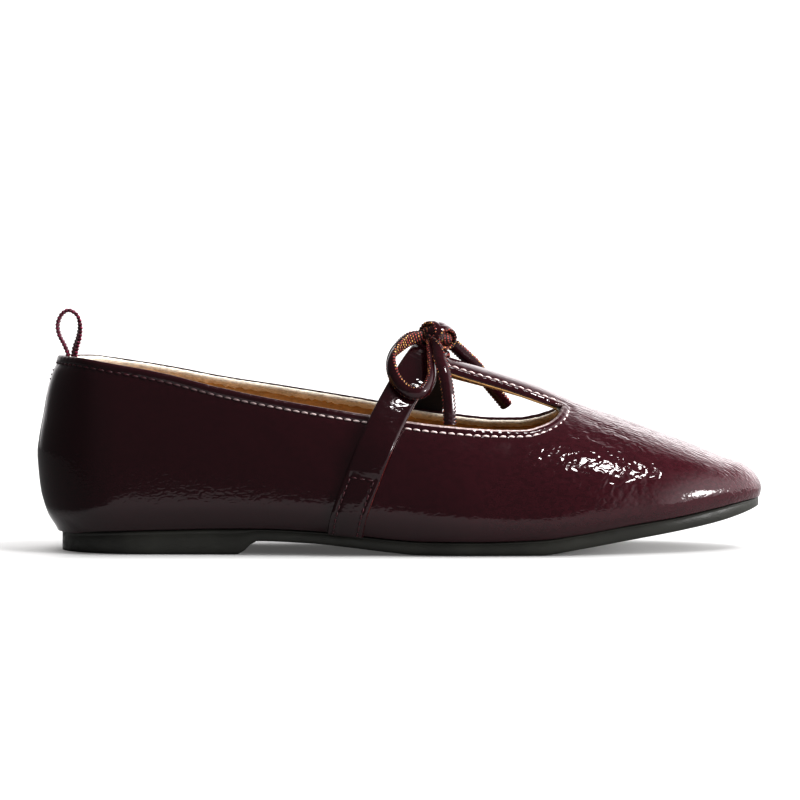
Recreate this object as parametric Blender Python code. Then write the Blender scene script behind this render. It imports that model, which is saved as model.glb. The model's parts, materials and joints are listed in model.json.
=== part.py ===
"""Right T-bar flat shoe: hollow upper, cross strap, ribbon bow, moulded sole. Metres, +Z up, toe to +X."""
import math
from bisect import bisect_right
from collections import namedtuple

import bmesh
import bpy
from mathutils import Vector

MM = 0.001

# Driving sizes, millimetres
BACK_X = -128.0
TOE_X = 128.0
WALL = 1.7
FIT_GAP = 0.35
HEEL_ROUND = 32.0
TOE_ROUND = 42.0
NOSE_ROUND = 10.0
BACK_FADE = 46.0
NOSE_FADE = 20.0
TBAR_END_X = 5.0
THROAT_X = 57.5
SOLE_BACK_X = -118.9
SOLE_TOE_X = 127.0
SOLE_INSET = 1.0
BREAST_X = -56.0
INSOLE_BACK_X = -116.6
INSOLE_TOE_X = 119.0
INSOLE_THICK = 2.2
STRAP_WIDTH = 12.2
STRAP_THICK = 1.4
STRAP_FOOT_X = -13.8
STRAP_LEAN = 0.36
STRAP_SKEW = 0.23
STRAP_LOW = -0.94
RIBBON_WIDTH = 4.4
RIBBON_THICK = 1.5
TAPE_WIDTH = 5.0
TAPE_THICK = 1.4
KNOT_HALF = (6.5, 5.2, 3.9)
KNOT_TILT = math.radians(20.0)

# Brings the middle of the whole outline onto the origin, in X and Y
CENTRE_SHIFT = (-0.408, -0.549, 0.0)

# Faceting
WALL_ROWS_LOW = 3
WALL_ROWS_HIGH = 6
TOP_ROWS = 4
HEEL_STATIONS = 20
BAR_STATIONS = 12
TOE_STATIONS = 16

# Sections of the last: ridge line, half breadths from it, tuck at the sole, widest height, fullness
Section = namedtuple("Section", "x spine lateral medial tuck widest side crown")
LAST = (
    Section(-128, -3.0, 30.0, 30.0, 4.0, 20.0, 0.55, 0.55),
    Section(-95, -3.0, 31.0, 31.0, 4.2, 19.0, 0.55, 0.55),
    Section(-60, -2.6, 32.2, 29.6, 4.4, 18.0, 0.54, 0.52),
    Section(-30, -1.8, 35.0, 29.8, 4.4, 17.0, 0.50, 0.42),
    Section(0, -0.6, 38.8, 34.2, 4.2, 15.5, 0.46, 0.32),
    Section(25, 0.4, 42.0, 39.6, 4.0, 14.5, 0.45, 0.26),
    Section(48, 1.2, 41.4, 41.4, 3.8, 14.5, 0.46, 0.26),
    Section(70, 2.0, 37.4, 39.6, 3.4, 16.0, 0.50, 0.34),
    Section(90, 3.0, 32.6, 35.0, 2.8, 18.0, 0.53, 0.44),
    Section(110, 4.0, 28.0, 29.4, 2.0, 19.6, 0.55, 0.52),
    Section(128, 4.6, 24.6, 25.4, 1.5, 21.0, 0.55, 0.55),
)

# Height of the ridge; behind the T-bar's end it is the line that the sides lean towards
Ridge = namedtuple("Ridge", "x height")
RIDGE = (
    Ridge(-128, 94.0),
    Ridge(-95, 95.0),
    Ridge(-60, 91.0),
    Ridge(-30, 83.0),
    Ridge(0, 73.0),
    Ridge(10, 70.0),
    Ridge(21, 66.3),
    Ridge(37.5, 61.2),
    Ridge(51, 56.6),
    Ridge(60, 52.4),
    Ridge(68, 49.2),
    Ridge(76.5, 46.5),
    Ridge(91, 41.3),
    Ridge(105, 36.0),
    Ridge(116, 31.6),
    Ridge(128, 28.8),
)

# Heel curve and nose, as setback from the two ends at each height
Setback = namedtuple("Setback", "height heel nose")
ENDS = (
    Setback(0, 10.4, 2.6),
    Setback(8, 7.0, 2.0),
    Setback(12, 4.5, 1.4),
    Setback(17, 2.7, 0.9),
    Setback(21, 1.7, 0.0),
    Setback(28, 0.9, 0.0),
    Setback(34, 0.5, 0.0),
    Setback(40, 1.2, 0.0),
    Setback(48, 2.7, 0.0),
    Setback(56, 4.1, 0.0),
    Setback(62, 5.8, 0.0),
    Setback(68, 8.2, 0.0),
)

# Sole unit: its top, where the upper sits, and its underside
SoleLine = namedtuple("SoleLine", "x top under")
SOLE = (
    SoleLine(-119, 6.6, 0.0),
    SoleLine(-104, 7.7, 0.0),
    SoleLine(-83, 8.4, 0.0),
    SoleLine(-56, 8.9, 0.0),
    SoleLine(-49.5, 8.9, 4.6),
    SoleLine(-31, 8.2, 3.9),
    SoleLine(-17, 7.0, 2.5),
    SoleLine(-4, 5.6, 1.0),
    SoleLine(8, 4.8, 0.0),
    SoleLine(27, 4.7, 0.0),
    SoleLine(48, 5.4, 0.0),
    SoleLine(62, 7.2, 1.9),
    SoleLine(77, 9.7, 4.4),
    SoleLine(97, 12.6, 7.7),
    SoleLine(112, 15.4, 10.6),
    SoleLine(121, 17.0, 13.1),
    SoleLine(128, 18.0, 15.6),
)

# Side of the sole from its top edge down: depth share and how far it stands in
Side = namedtuple("Side", "share inset")
SOLE_SIDE = (
    Side(0.0, 0.7),
    Side(0.10, 0.1),
    Side(0.50, 0.0),
    Side(0.90, 0.4),
    Side(1.0, 1.2),
)

# Topline: height of the collar edge on both sides, and the T-bar's half widths
Collar = namedtuple("Collar", "x lateral medial")
COLLAR = (
    Collar(-128, 67.8, 67.8),
    Collar(-112, 67.0, 67.4),
    Collar(-97, 64.8, 65.6),
    Collar(-81, 61.8, 63.0),
    Collar(-62, 57.0, 59.4),
    Collar(-44, 53.3, 56.7),
    Collar(-14, 48.2, 51.9),
    Collar(14, 44.2, 47.0),
    Collar(35, 42.9, 44.9),
    Collar(43, 43.0, 45.0),
    Collar(50, 44.6, 46.3),
    Collar(54.5, 46.8, 48.0),
    Collar(56.8, 48.8, 49.4),
    Collar(57.5, 50.4, 50.6),
)
TBar = namedtuple("TBar", "x lateral medial")
TBAR = (
    TBar(5, 9.0, 10.0),
    TBar(20, 9.6, 10.8),
    TBar(38, 9.9, 10.8),
    TBar(50, 10.5, 10.9),
    TBar(55, 10.3, 10.4),
    TBar(57.5, 9.0, 9.0),
)

# Bow loop on the last: station, lift and how high its middle stands off the skin
Perch = namedtuple("Perch", "station lift stand")
LOOP_LINE = (
    Perch(6.2, 0.90, 4.8),
    Perch(2.6, 0.845, 4.7),
    Perch(-0.8, 0.76, 4.6),
    Perch(-3.4, 0.68, 4.6),
    Perch(-4.0, 0.61, 4.6),
    Perch(-2.0, 0.54, 4.6),
    Perch(2.6, 0.50, 4.6),
    Perch(7.4, 0.52, 4.6),
    Perch(10.0, 0.60, 4.6),
    Perch(10.0, 0.70, 4.6),
    Perch(9.6, 0.79, 4.6),
    Perch(9.4, 0.87, 4.7),
)

# Ribbon and tape lines: the centre of the strip, and the way its width points
Spot = namedtuple("Spot", "x y z")
TAIL_NEAR = (
    Spot(14.2, -7.5, 73.6),
    Spot(14.9, -11.5, 71.4),
    Spot(15.6, -17.0, 67.0),
    Spot(16.1, -21.4, 62.0),
    Spot(16.5, -24.0, 56.0),
    Spot(16.7, -24.9, 50.6),
    Spot(16.8, -25.1, 45.6),
)
TAIL_NEAR_WIDE = Spot(0.85, -0.52, 0.0)
TAIL_FAR = (
    Spot(19.0, 4.2, 71.6),
    Spot(22.2, 6.4, 68.6),
    Spot(26.4, 9.8, 64.6),
    Spot(29.8, 13.6, 60.2),
    Spot(33.0, 16.6, 56.0),
    Spot(36.0, 18.6, 52.4),
    Spot(38.4, 20.0, 49.4),
)
TAIL_FAR_WIDE = Spot(0.1, -0.45, 0.9)
PULL_LINE = (
    Spot(-116.9, -3.0, 60.6),
    Spot(-116.7, -3.0, 67.6),
    Spot(-118.0, -3.0, 71.6),
    Spot(-119.9, -3.0, 75.4),
    Spot(-120.4, -3.0, 79.0),
    Spot(-119.1, -3.0, 82.4),
    Spot(-116.5, -3.0, 84.0),
    Spot(-113.6, -3.0, 82.2),
    Spot(-112.6, -3.0, 78.6),
    Spot(-113.0, -3.0, 74.6),
    Spot(-114.2, -3.0, 70.6),
    Spot(-114.8, -3.0, 66.6),
    Spot(-114.8, -3.0, 60.6),
)
PULL_WIDE = Spot(0.0, 1.0, 0.0)


def clamp(value, low, high):
    return max(low, min(high, value))


def smooth(rows, column, key="x"):
    """Smooth function through one column of a table that doesn't overshoot its rows."""
    keys = [getattr(row, key) for row in rows]
    values = [getattr(row, column) for row in rows]
    rises = [(v1 - v0) / (k1 - k0) for k0, k1, v0, v1 in zip(keys, keys[1:], values, values[1:])]
    slopes = [rises[0]]
    for before, after in zip(rises, rises[1:]):
        turning = before * after <= 0.0
        slopes.append(0.0 if turning else 2.0 * before * after / (before + after))
    slopes.append(rises[-1])

    def at(key_value):
        place = clamp(key_value, keys[0], keys[-1])
        i = clamp(bisect_right(keys, place) - 1, 0, len(rises) - 1)
        span = keys[i + 1] - keys[i]
        f = (place - keys[i]) / span
        start = values[i] * (1 + 2 * f) * (1 - f) ** 2 + slopes[i] * span * f * (1 - f) ** 2
        end = values[i + 1] * f * f * (3 - 2 * f) + slopes[i + 1] * span * f * f * (f - 1)
        return start + end

    return at


spine_at = smooth(LAST, "spine")
half_at = {-1: smooth(LAST, "lateral"), 1: smooth(LAST, "medial")}
tuck_at = smooth(LAST, "tuck")
widest_at = smooth(LAST, "widest")
side_at = smooth(LAST, "side")
crown_at = smooth(LAST, "crown")
ridge_at = smooth(RIDGE, "height")
heel_setback = smooth(ENDS, "heel", "height")
nose_setback = smooth(ENDS, "nose", "height")
sole_top = smooth(SOLE, "top")
sole_under = smooth(SOLE, "under")
collar_at = {-1: smooth(COLLAR, "lateral"), 1: smooth(COLLAR, "medial")}
bar_half_at = {-1: smooth(TBAR, "lateral"), 1: smooth(TBAR, "medial")}


def rounded_end(distance, length):
    """Share of the full breadth at a distance from a rounded end."""
    if distance >= length:
        return 1.0
    return math.sqrt(max(0.0, 1.0 - (1.0 - max(0.0, distance) / length) ** 2))


def ends_share(station):
    return rounded_end(station - BACK_X, HEEL_ROUND) * rounded_end(TOE_X - station, TOE_ROUND)


def ease(value):
    f = clamp(value, 0.0, 1.0)
    return f * f * (3.0 - 2.0 * f)


def arch(a, b, c, d, t):
    """Cubic through control values a, b, c, d."""
    s = 1.0 - t
    return a * s ** 3 + 3.0 * b * s * s * t + 3.0 * c * s * t * t + d * t ** 3


def ridge_height(station):
    low = widest_at(station)
    return low + (ridge_at(station) - low) * rounded_end(TOE_X - station, NOSE_ROUND)


def skin(station, side, lift):
    """Point on the outside of the last: lift -1 at the sole, 0 at the widest line, 1 on the ridge."""
    low = sole_top(station) + FIT_GAP
    widest = widest_at(station)
    share = ends_share(station)
    half = half_at[side](station)
    if lift <= 0.0:
        height = widest + lift * (widest - low)
        breadth = (half - tuck_at(station) * lift * lift) * share
    else:
        top = ridge_height(station)
        height = arch(widest, widest + side_at(station) * (top - widest), top, top, lift)
        breadth = share * arch(half, half, crown_at(station) * half, 0.0, lift)
    heel_fade = 1.0 - ease((station - BACK_X) / BACK_FADE)
    nose_fade = 1.0 - ease((TOE_X - station) / NOSE_FADE)
    x = station + heel_setback(height) * heel_fade - nose_setback(height) * nose_fade
    return Vector((x, spine_at(station) + side * breadth, height))


def lift_where(test):
    """Lift above the widest line at which a rising test turns true."""
    low, high = 0.0, 1.0
    for _ in range(40):
        middle = 0.5 * (low + high)
        if test(middle):
            high = middle
        else:
            low = middle
    return 0.5 * (low + high)


def collar_lift(station, side):
    edge = collar_at[side](station)
    return lift_where(lambda lift: skin(station, side, lift).z >= edge)


def bar_lift(station, side):
    half = bar_half_at[side](station)
    spine = spine_at(station)
    return lift_where(lambda lift: abs(skin(station, side, lift).y - spine) <= half)


THROAT_LIFT = {side: collar_lift(THROAT_X, side) for side in (-1, 1)}


def seam_lift(station, side):
    """Lift of the row that carries the opening's lower edge and runs on to the toe."""
    if station <= THROAT_X:
        return collar_lift(station, side)
    f = (station - THROAT_X) / (TOE_X - THROAT_X)
    return THROAT_LIFT[side] + (0.62 - THROAT_LIFT[side]) * ease(f)


def bar_edge_lift(station, side):
    """Lift of the T-bar's edge, which closes onto the lower edge at the throat."""
    f = clamp((THROAT_X - station) / 3.0, 0.0, 1.0)
    closing = math.sqrt(1.0 - (1.0 - f) ** 2)
    return THROAT_LIFT[side] + (bar_lift(station, side) - THROAT_LIFT[side]) * closing


def stations():
    """Stations from heel to toe, closer at the round ends and at the throat."""
    rear = [BACK_X + (TBAR_END_X - BACK_X) * (1.0 - math.cos(0.5 * math.pi * i / HEEL_STATIONS))
            for i in range(HEEL_STATIONS)]
    bar = [THROAT_X - (THROAT_X - TBAR_END_X) * (1.0 - i / BAR_STATIONS) ** 1.8 for i in range(BAR_STATIONS)]
    toe = [THROAT_X + (TOE_X - THROAT_X) * 0.5 * (1.0 - math.cos(math.pi * i / TOE_STATIONS))
           for i in range(TOE_STATIONS + 1)]
    return rear + bar + toe


def surface(name, colour, roughness):
    material = bpy.data.materials.new(name)
    material.use_nodes = True
    shader = material.node_tree.nodes["Principled BSDF"]
    shader.inputs["Base Color"].default_value = (*colour, 1.0)
    shader.inputs["Roughness"].default_value = roughness
    return material


def add_object(name, mesh, colour, roughness):
    bmesh.ops.translate(mesh, verts=mesh.verts, vec=Vector(CENTRE_SHIFT) * MM)
    bmesh.ops.recalc_face_normals(mesh, faces=mesh.faces)
    data = bpy.data.meshes.new(name)
    mesh.to_mesh(data)
    mesh.free()
    piece = bpy.data.objects.new(name, data)
    bpy.context.collection.objects.link(piece)
    data.materials.append(surface(name, colour, roughness))
    return piece


def face(mesh, corners):
    """Adds a face, leaving out corners that fall together at an end."""
    kept = [corner for i, corner in enumerate(corners) if corner is not corners[i - 1]]
    if len(set(kept)) >= 3:
        mesh.faces.new(kept)


def build_upper():
    """Vamp, quarters and T-bar as one hollow wall, open at the collar, the cut-outs and underneath."""
    mesh = bmesh.new()
    places = stations()
    throat = HEEL_STATIONS + BAR_STATIONS
    last = len(places) - 1
    wall = {}
    top = {}
    for i, station in enumerate(places):
        for side in (-1, 1):
            shared = side == 1 and i in (0, last)
            seam = seam_lift(station, side)
            lifts = [-1.0 + row / WALL_ROWS_LOW for row in range(WALL_ROWS_LOW)]
            lifts += [seam * row / WALL_ROWS_HIGH for row in range(WALL_ROWS_HIGH + 1)]
            if shared:
                wall[i, side] = wall[i, -1]
            else:
                wall[i, side] = [mesh.verts.new(skin(station, side, lift) * MM) for lift in lifts]
    for i in range(HEEL_STATIONS, last + 1):
        station = places[i]
        ridge = mesh.verts.new(skin(station, -1, 1.0) * MM)
        for side in (-1, 1):
            if side == 1 and i == last:
                top[i, side] = top[i, -1]
                continue
            edge = bar_edge_lift(station, side) if i < throat else seam_lift(station, side)
            rise = [edge + (1.0 - edge) * row / TOP_ROWS for row in range(TOP_ROWS)]
            row_verts = [mesh.verts.new(skin(station, side, lift) * MM) for lift in rise[1:]]
            first = mesh.verts.new(skin(station, side, edge) * MM) if i < throat else wall[i, side][-1]
            top[i, side] = [first] + row_verts + [ridge]
    for side in (-1, 1):
        for i in range(last):
            for low, high in zip(range(len(wall[i, side]) - 1), range(1, len(wall[i, side]))):
                here, ahead = wall[i, side], wall[i + 1, side]
                face(mesh, [here[low], ahead[low], ahead[high], here[high]])
        for i in range(HEEL_STATIONS, last):
            here, ahead = top[i, side], top[i + 1, side]
            for low in range(TOP_ROWS):
                face(mesh, [here[low], ahead[low], ahead[low + 1], here[low + 1]])
    piece = add_object("upper", mesh, (0.10, 0.012, 0.022), 0.18)
    shell = piece.modifiers.new("wall", "SOLIDIFY")
    shell.thickness = WALL * MM
    shell.offset = -1.0
    shell.use_even_offset = True
    return piece


def plan_half(x, back, toe, side, inset):
    """Half breadth of a sole layer whose ends are at back and toe."""
    station = BACK_X + (TOE_X - BACK_X) * (x - back) / (toe - back)
    return (half_at[side](x) - tuck_at(x) - inset) * ends_share(station)


def layer_stations(back, toe, count, breaks=()):
    """Stations of a sole layer, closer at the ends, with given breaks kept."""
    places = [back + (toe - back) * 0.5 * (1.0 - math.cos(math.pi * i / count)) for i in range(count + 1)]
    for stop in breaks:
        nearest = min(range(1, count), key=lambda i: abs(places[i] - stop))
        places[nearest] = stop
    return sorted(places)


def build_layer(name, places, rings, colour, roughness):
    """Solid from rings of near and far edge points, one list of levels per station."""
    mesh = bmesh.new()
    edges = {}
    for i in range(len(places)):
        for side in (-1, 1):
            if side == 1 and i in (0, len(places) - 1):
                edges[i, side] = edges[i, -1]
            else:
                edges[i, side] = [mesh.verts.new(point * MM) for point in rings(places[i], side)]
    for i in range(len(places) - 1):
        for side in (-1, 1):
            here, ahead = edges[i, side], edges[i + 1, side]
            for level in range(len(here) - 1):
                face(mesh, [here[level], ahead[level], ahead[level + 1], here[level + 1]])
        for level in (0, -1):
            face(mesh, [edges[i, -1][level], edges[i + 1, -1][level], edges[i + 1, 1][level], edges[i, 1][level]])
    return add_object(name, mesh, colour, roughness)


def build_outsole():
    """Moulded sole with its heel block, arch, toe spring and a soft lip on the top edge."""
    breast_top = SOLE[4].x
    places = layer_stations(SOLE_BACK_X, SOLE_TOE_X, 48, (BREAST_X, breast_top, SOLE[8].x, SOLE[10].x))

    def rings(x, side):
        high, low = sole_top(x), sole_under(x)
        points = []
        for row in SOLE_SIDE:
            half = plan_half(x, SOLE_BACK_X, SOLE_TOE_X, side, SOLE_INSET + row.inset)
            points.append(Vector((x, spine_at(x) + side * half, high + (low - high) * row.share)))
        return points

    return build_layer("outsole", places, rings, (0.022, 0.023, 0.022), 0.55)


def build_insole():
    """Sock on the sole, a little wider at its top where the wall leans out."""
    places = layer_stations(INSOLE_BACK_X, INSOLE_TOE_X, 32)

    def rings(x, side):
        low = sole_top(x) + FIT_GAP
        points = []
        for height, inset in ((0.0, 2.9), (INSOLE_THICK, 1.6)):
            half = plan_half(x, INSOLE_BACK_X, INSOLE_TOE_X, side, inset)
            points.append(Vector((x, spine_at(x) + side * half, low + height)))
        return points

    return build_layer("insole", places, rings, (0.50, 0.36, 0.21), 0.8)


def flowing(spots, steps):
    """Smooth line through the spots, with a number of steps to each span."""
    line = [Vector(spot) for spot in spots]
    line = [line[0] * 2.0 - line[1]] + line + [line[-1] * 2.0 - line[-2]]
    points = []
    for a, b, c, d in zip(line, line[1:], line[2:], line[3:]):
        for i in range(steps):
            t = i / steps
            points.append(0.5 * (2.0 * b + (c - a) * t + (2.0 * a - 5.0 * b + 4.0 * c - d) * t ** 2
                                 + (3.0 * b - a - 3.0 * c + d) * t ** 3))
    return points + [line[-2]]


Frame = namedtuple("Frame", "point across out width")


def square_frames(points, wide, width):
    """Frames along a line, square to it, with the strip's width pointing as wide says at each point."""
    frames = []
    for i, point in enumerate(points):
        along = (points[min(i + 1, len(points) - 1)] - points[max(i - 1, 0)]).normalized()
        across = (wide[i] - along * wide[i].dot(along)).normalized()
        frames.append(Frame(point, across, along.cross(across), width))
    return frames


def build_strip(name, frames, thick, colour, roughness):
    """Flat strip with eased edges through the frames."""
    mesh = bmesh.new()
    half = 0.5 * thick
    eased = 0.32 * thick
    rings = []
    for frame in frames:
        reach = 0.5 * frame.width
        outline = (
            (-reach, eased - half), (eased - reach, -half), (reach - eased, -half), (reach, eased - half),
            (reach, half - eased), (reach - eased, half), (eased - reach, half), (-reach, half - eased),
        )
        rings.append([mesh.verts.new((frame.point + frame.across * u + frame.out * v) * MM) for u, v in outline])
    for here, ahead in zip(rings, rings[1:]):
        for k in range(len(here)):
            n = (k + 1) % len(here)
            mesh.faces.new([here[k], ahead[k], ahead[n], here[n]])
    mesh.faces.new(rings[0])
    mesh.faces.new(list(reversed(rings[-1])))
    return add_object(name, mesh, colour, roughness)


def strap_station(side, lift, shift):
    """Station at which the strap's slanting plane, shifted along the shoe, meets a row of the last."""
    low, high = -70.0, 60.0
    for _ in range(40):
        middle = 0.5 * (low + high)
        point = skin(middle, side, lift)
        if point.x > STRAP_FOOT_X + shift + STRAP_LEAN * point.z + STRAP_SKEW * point.y:
            high = middle
        else:
            low = middle
    return 0.5 * (low + high)


def outward(station, side, lift):
    """Outward normal of the last."""
    along = skin(station + 0.5, side, lift) - skin(station - 0.5, side, lift)
    up = skin(station, side, min(lift + 0.01, 0.9999)) - skin(station, side, lift - 0.01)
    return (along.cross(up) * -side).normalized()


def strap_frames():
    """Frames of the strap over the last from the outer side to the inner side."""
    lifts = [STRAP_LOW + (0.96 - STRAP_LOW) * i / 17 for i in range(18)]
    reach = 0.5 * STRAP_WIDTH * math.hypot(1.0, STRAP_LEAN)
    frames = []
    for side, order in ((-1, lifts), (1, list(reversed(lifts)))):
        for lift in order:
            edges = []
            for shift in (-reach, reach):
                station = strap_station(side, lift, shift)
                edges.append((skin(station, side, lift), outward(station, side, lift)))
            (rear, rear_out), (front, front_out) = edges
            out = (rear_out + front_out).normalized()
            across = front - rear
            middle = 0.5 * (rear + front) + out * (FIT_GAP + 0.1 + 0.5 * STRAP_THICK)
            frames.append(Frame(middle, across.normalized(), out, across.length))
    return frames


def build_strap():
    return build_strip("strap", strap_frames(), STRAP_THICK, (0.10, 0.012, 0.022), 0.18)


def knot_centre():
    """Centre of the knot, held off the strap's top."""
    frames = strap_frames()
    middle = len(frames) // 2
    crown = 0.5 * (frames[middle - 1].point + frames[middle].point)
    lift = 0.5 * STRAP_THICK + FIT_GAP + KNOT_HALF[2]
    return crown + Vector((math.sin(KNOT_TILT), 0.0, math.cos(KNOT_TILT))) * lift


def build_knot():
    """Rounded knot with a raised wrap round its middle."""
    mesh = bmesh.new()
    centre = knot_centre()
    turn, rise = 18, 10
    rows = []
    for j in range(rise + 1):
        polar = math.pi * j / rise
        row = []
        for i in range(turn):
            angle = 2.0 * math.pi * i / turn
            ball = Vector((math.cos(polar), math.sin(polar) * math.cos(angle), math.sin(polar) * math.sin(angle)))
            boxy = (abs(ball.x) ** 3 + abs(ball.y) ** 3 + abs(ball.z) ** 3) ** (-1.0 / 3.0)
            wrap = 1.0 if abs(math.cos(polar)) < 0.45 else 0.9
            spot = Vector((ball.x * boxy * KNOT_HALF[0], ball.y * boxy * wrap * KNOT_HALF[1],
                           ball.z * boxy * wrap * KNOT_HALF[2]))
            x = spot.x * math.cos(KNOT_TILT) + spot.z * math.sin(KNOT_TILT)
            z = spot.z * math.cos(KNOT_TILT) - spot.x * math.sin(KNOT_TILT)
            row.append((centre + Vector((x, spot.y, z))) * MM)
        rows.append(row)
    poles = [mesh.verts.new(rows[0][0]), mesh.verts.new(rows[-1][0])]
    bands = [[mesh.verts.new(point) for point in row] for row in rows[1:-1]]
    for i in range(turn):
        n = (i + 1) % turn
        mesh.faces.new([poles[0], bands[0][i], bands[0][n]])
        mesh.faces.new([poles[1], bands[-1][n], bands[-1][i]])
        for here, ahead in zip(bands, bands[1:]):
            mesh.faces.new([here[i], ahead[i], ahead[n], here[n]])
    return add_object("bow_knot", mesh, (0.12, 0.015, 0.025), 0.3)


def build_ribbon(name, spots, wide, width, thick):
    """Strip along spots with its width pointing one way."""
    points = flowing(spots, 3)
    frames = square_frames(points, [Vector(wide)] * len(points), width)
    return build_strip(name, frames, thick, (0.12, 0.015, 0.025), 0.25)


def build_loop(name, side):
    """Loop of the bow, its ribbon standing on edge over one side of the strap."""
    spots = []
    for perch in LOOP_LINE:
        normal = outward(perch.station, side, perch.lift)
        spots.append((skin(perch.station, side, perch.lift) + normal * perch.stand, normal))
    points = flowing([spot for spot, _ in spots], 3)
    wide = flowing([normal for _, normal in spots], 3)
    return build_strip(name, square_frames(points, wide, RIBBON_WIDTH), RIBBON_THICK, (0.12, 0.015, 0.025), 0.25)


def build_bow():
    build_knot()
    build_loop("bow_loop_lateral", -1)
    build_loop("bow_loop_medial", 1)
    build_ribbon("bow_tail_lateral", TAIL_NEAR, TAIL_NEAR_WIDE, RIBBON_WIDTH, RIBBON_THICK)
    build_ribbon("bow_tail_medial", TAIL_FAR, TAIL_FAR_WIDE, RIBBON_WIDTH, RIBBON_THICK)


def main():
    for old in list(bpy.data.objects):
        bpy.data.objects.remove(old, do_unlink=True)
    build_outsole()
    build_insole()
    build_upper()
    build_strap()
    build_bow()
    build_ribbon("pull_loop", PULL_LINE, PULL_WIDE, TAPE_WIDTH, TAPE_THICK)


main()
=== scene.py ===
"""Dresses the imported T-bar flat: crinkled patent, stitched edges, lining, ribbon bow, tape loop and sole."""
import json
import math
from bisect import bisect_right
from collections import namedtuple

import bmesh
import bpy
from mathutils import Matrix, Vector, noise
from mathutils.bvhtree import BVHTree
from mathutils.kdtree import KDTree

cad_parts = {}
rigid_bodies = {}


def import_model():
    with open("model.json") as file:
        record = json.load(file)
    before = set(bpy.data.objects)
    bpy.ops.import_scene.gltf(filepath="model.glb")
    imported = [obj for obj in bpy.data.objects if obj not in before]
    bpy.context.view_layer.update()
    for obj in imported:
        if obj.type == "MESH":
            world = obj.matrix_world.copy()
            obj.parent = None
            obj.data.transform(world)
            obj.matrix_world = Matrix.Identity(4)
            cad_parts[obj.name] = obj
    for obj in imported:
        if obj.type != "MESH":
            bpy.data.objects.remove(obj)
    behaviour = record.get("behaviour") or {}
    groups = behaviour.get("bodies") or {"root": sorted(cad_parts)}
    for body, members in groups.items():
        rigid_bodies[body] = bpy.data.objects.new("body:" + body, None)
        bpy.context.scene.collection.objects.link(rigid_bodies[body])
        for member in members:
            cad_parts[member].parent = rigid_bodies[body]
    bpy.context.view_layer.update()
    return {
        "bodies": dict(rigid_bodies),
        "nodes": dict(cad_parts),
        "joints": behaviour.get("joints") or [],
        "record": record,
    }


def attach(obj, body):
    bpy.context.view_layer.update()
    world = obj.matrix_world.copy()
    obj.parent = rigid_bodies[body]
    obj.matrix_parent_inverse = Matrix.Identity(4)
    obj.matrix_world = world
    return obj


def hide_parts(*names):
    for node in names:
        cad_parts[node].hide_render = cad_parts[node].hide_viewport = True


bl_info = {
    "name": "T-bar flat dressing",
    "version": (1, 0, 0),
    "blender": (4, 5, 0),
    "location": "3D View > Sidebar > Flat shoe",
    "description": "Builds the visible pieces of a T-bar flat around its packed solids",
    "category": "Object",
}

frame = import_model()

MM = 0.001
SIDES = (-1, 1)
BODY = "root"
STRIP_MAP = "strip"

# Sizes of the last and its pieces, millimetres
BACK_X = -128.0
TOE_X = 128.0
FIT_GAP = 0.35
UPPER_MARGIN = 0.4
HEEL_ROUND = 32.0
TOE_ROUND = 42.0
NOSE_ROUND = 10.0
BACK_FADE = 25.0
NOSE_FADE = 20.0
TBAR_END_X = 5.0
THROAT_X = 57.5
THROAT_CLOSE = 3.0
TOE_SEAM_LIFT = 0.62
SOLE_BACK_X = -118.9
SOLE_TOE_X = 127.0
SOLE_INSET = 1.0
BREAST_X = -56.0
INSOLE_BACK_X = -116.6
INSOLE_TOE_X = 119.0
INSOLE_THICK = 2.2
STRAP_WIDTH = 12.2
STRAP_THICK = 1.4
STRAP_FOOT_X = -13.8
STRAP_LEAN = 0.36
STRAP_SKEW = 0.23
STRAP_LOW = -0.94
STRAP_HIGH = 0.96
STRAP_STEPS = 17
RIBBON_WIDTH = 4.4
RIBBON_THICK = 1.5
TAPE_WIDTH = 5.0
TAPE_THICK = 1.4
RIBBON_RIB = 1.3
TAPE_RIB = 1.25
KNOT_HALF = (6.5, 5.2, 3.9)
KNOT_CORE = (5.6, 4.3, 3.1)
KNOT_TILT = math.radians(20.0)
BARTACK_ROWS = (61.5, 63.4, 65.3)
BARTACK_HALF = 2.6
BARTACK_PITCH = 1.8
CENTRE_SHIFT = Vector((-0.408, -0.549, 0.0))

# Camera, from the photograph's perspective: millimetres, degrees and pixels
VIEW_DISTANCE = 1200.0
VIEW_ELEVATION = 2.0
VIEW_HEIGHT = 52.3
VIEW_PIXEL = 0.353
FRAME_PIXELS = 800.0
SENSOR = 36.0

# Sections of the last: ridge line, half breadths from it, tuck at the sole, widest height, fullness
Section = namedtuple("Section", "x spine lateral medial tuck widest side crown")
LAST = (
    Section(-128, -3.0, 30.0, 30.0, 4.0, 17.0, 0.55, 0.55),
    Section(-95, -3.0, 31.0, 31.0, 4.2, 17.5, 0.55, 0.55),
    Section(-60, -2.6, 32.2, 29.6, 4.4, 18.0, 0.54, 0.52),
    Section(-30, -1.8, 35.0, 29.8, 4.4, 17.0, 0.50, 0.42),
    Section(0, -0.6, 38.8, 34.2, 4.2, 14.6, 0.46, 0.32),
    Section(25, 0.4, 42.0, 39.6, 4.0, 12.4, 0.45, 0.26),
    Section(48, 1.2, 41.4, 41.4, 3.8, 11.8, 0.46, 0.26),
    Section(70, 2.0, 37.4, 39.6, 3.4, 13.8, 0.50, 0.34),
    Section(90, 3.0, 32.6, 35.0, 2.8, 16.8, 0.53, 0.44),
    Section(110, 4.0, 28.0, 29.4, 2.0, 19.6, 0.55, 0.52),
    Section(128, 4.6, 24.6, 25.4, 1.5, 21.0, 0.55, 0.55),
)

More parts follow.
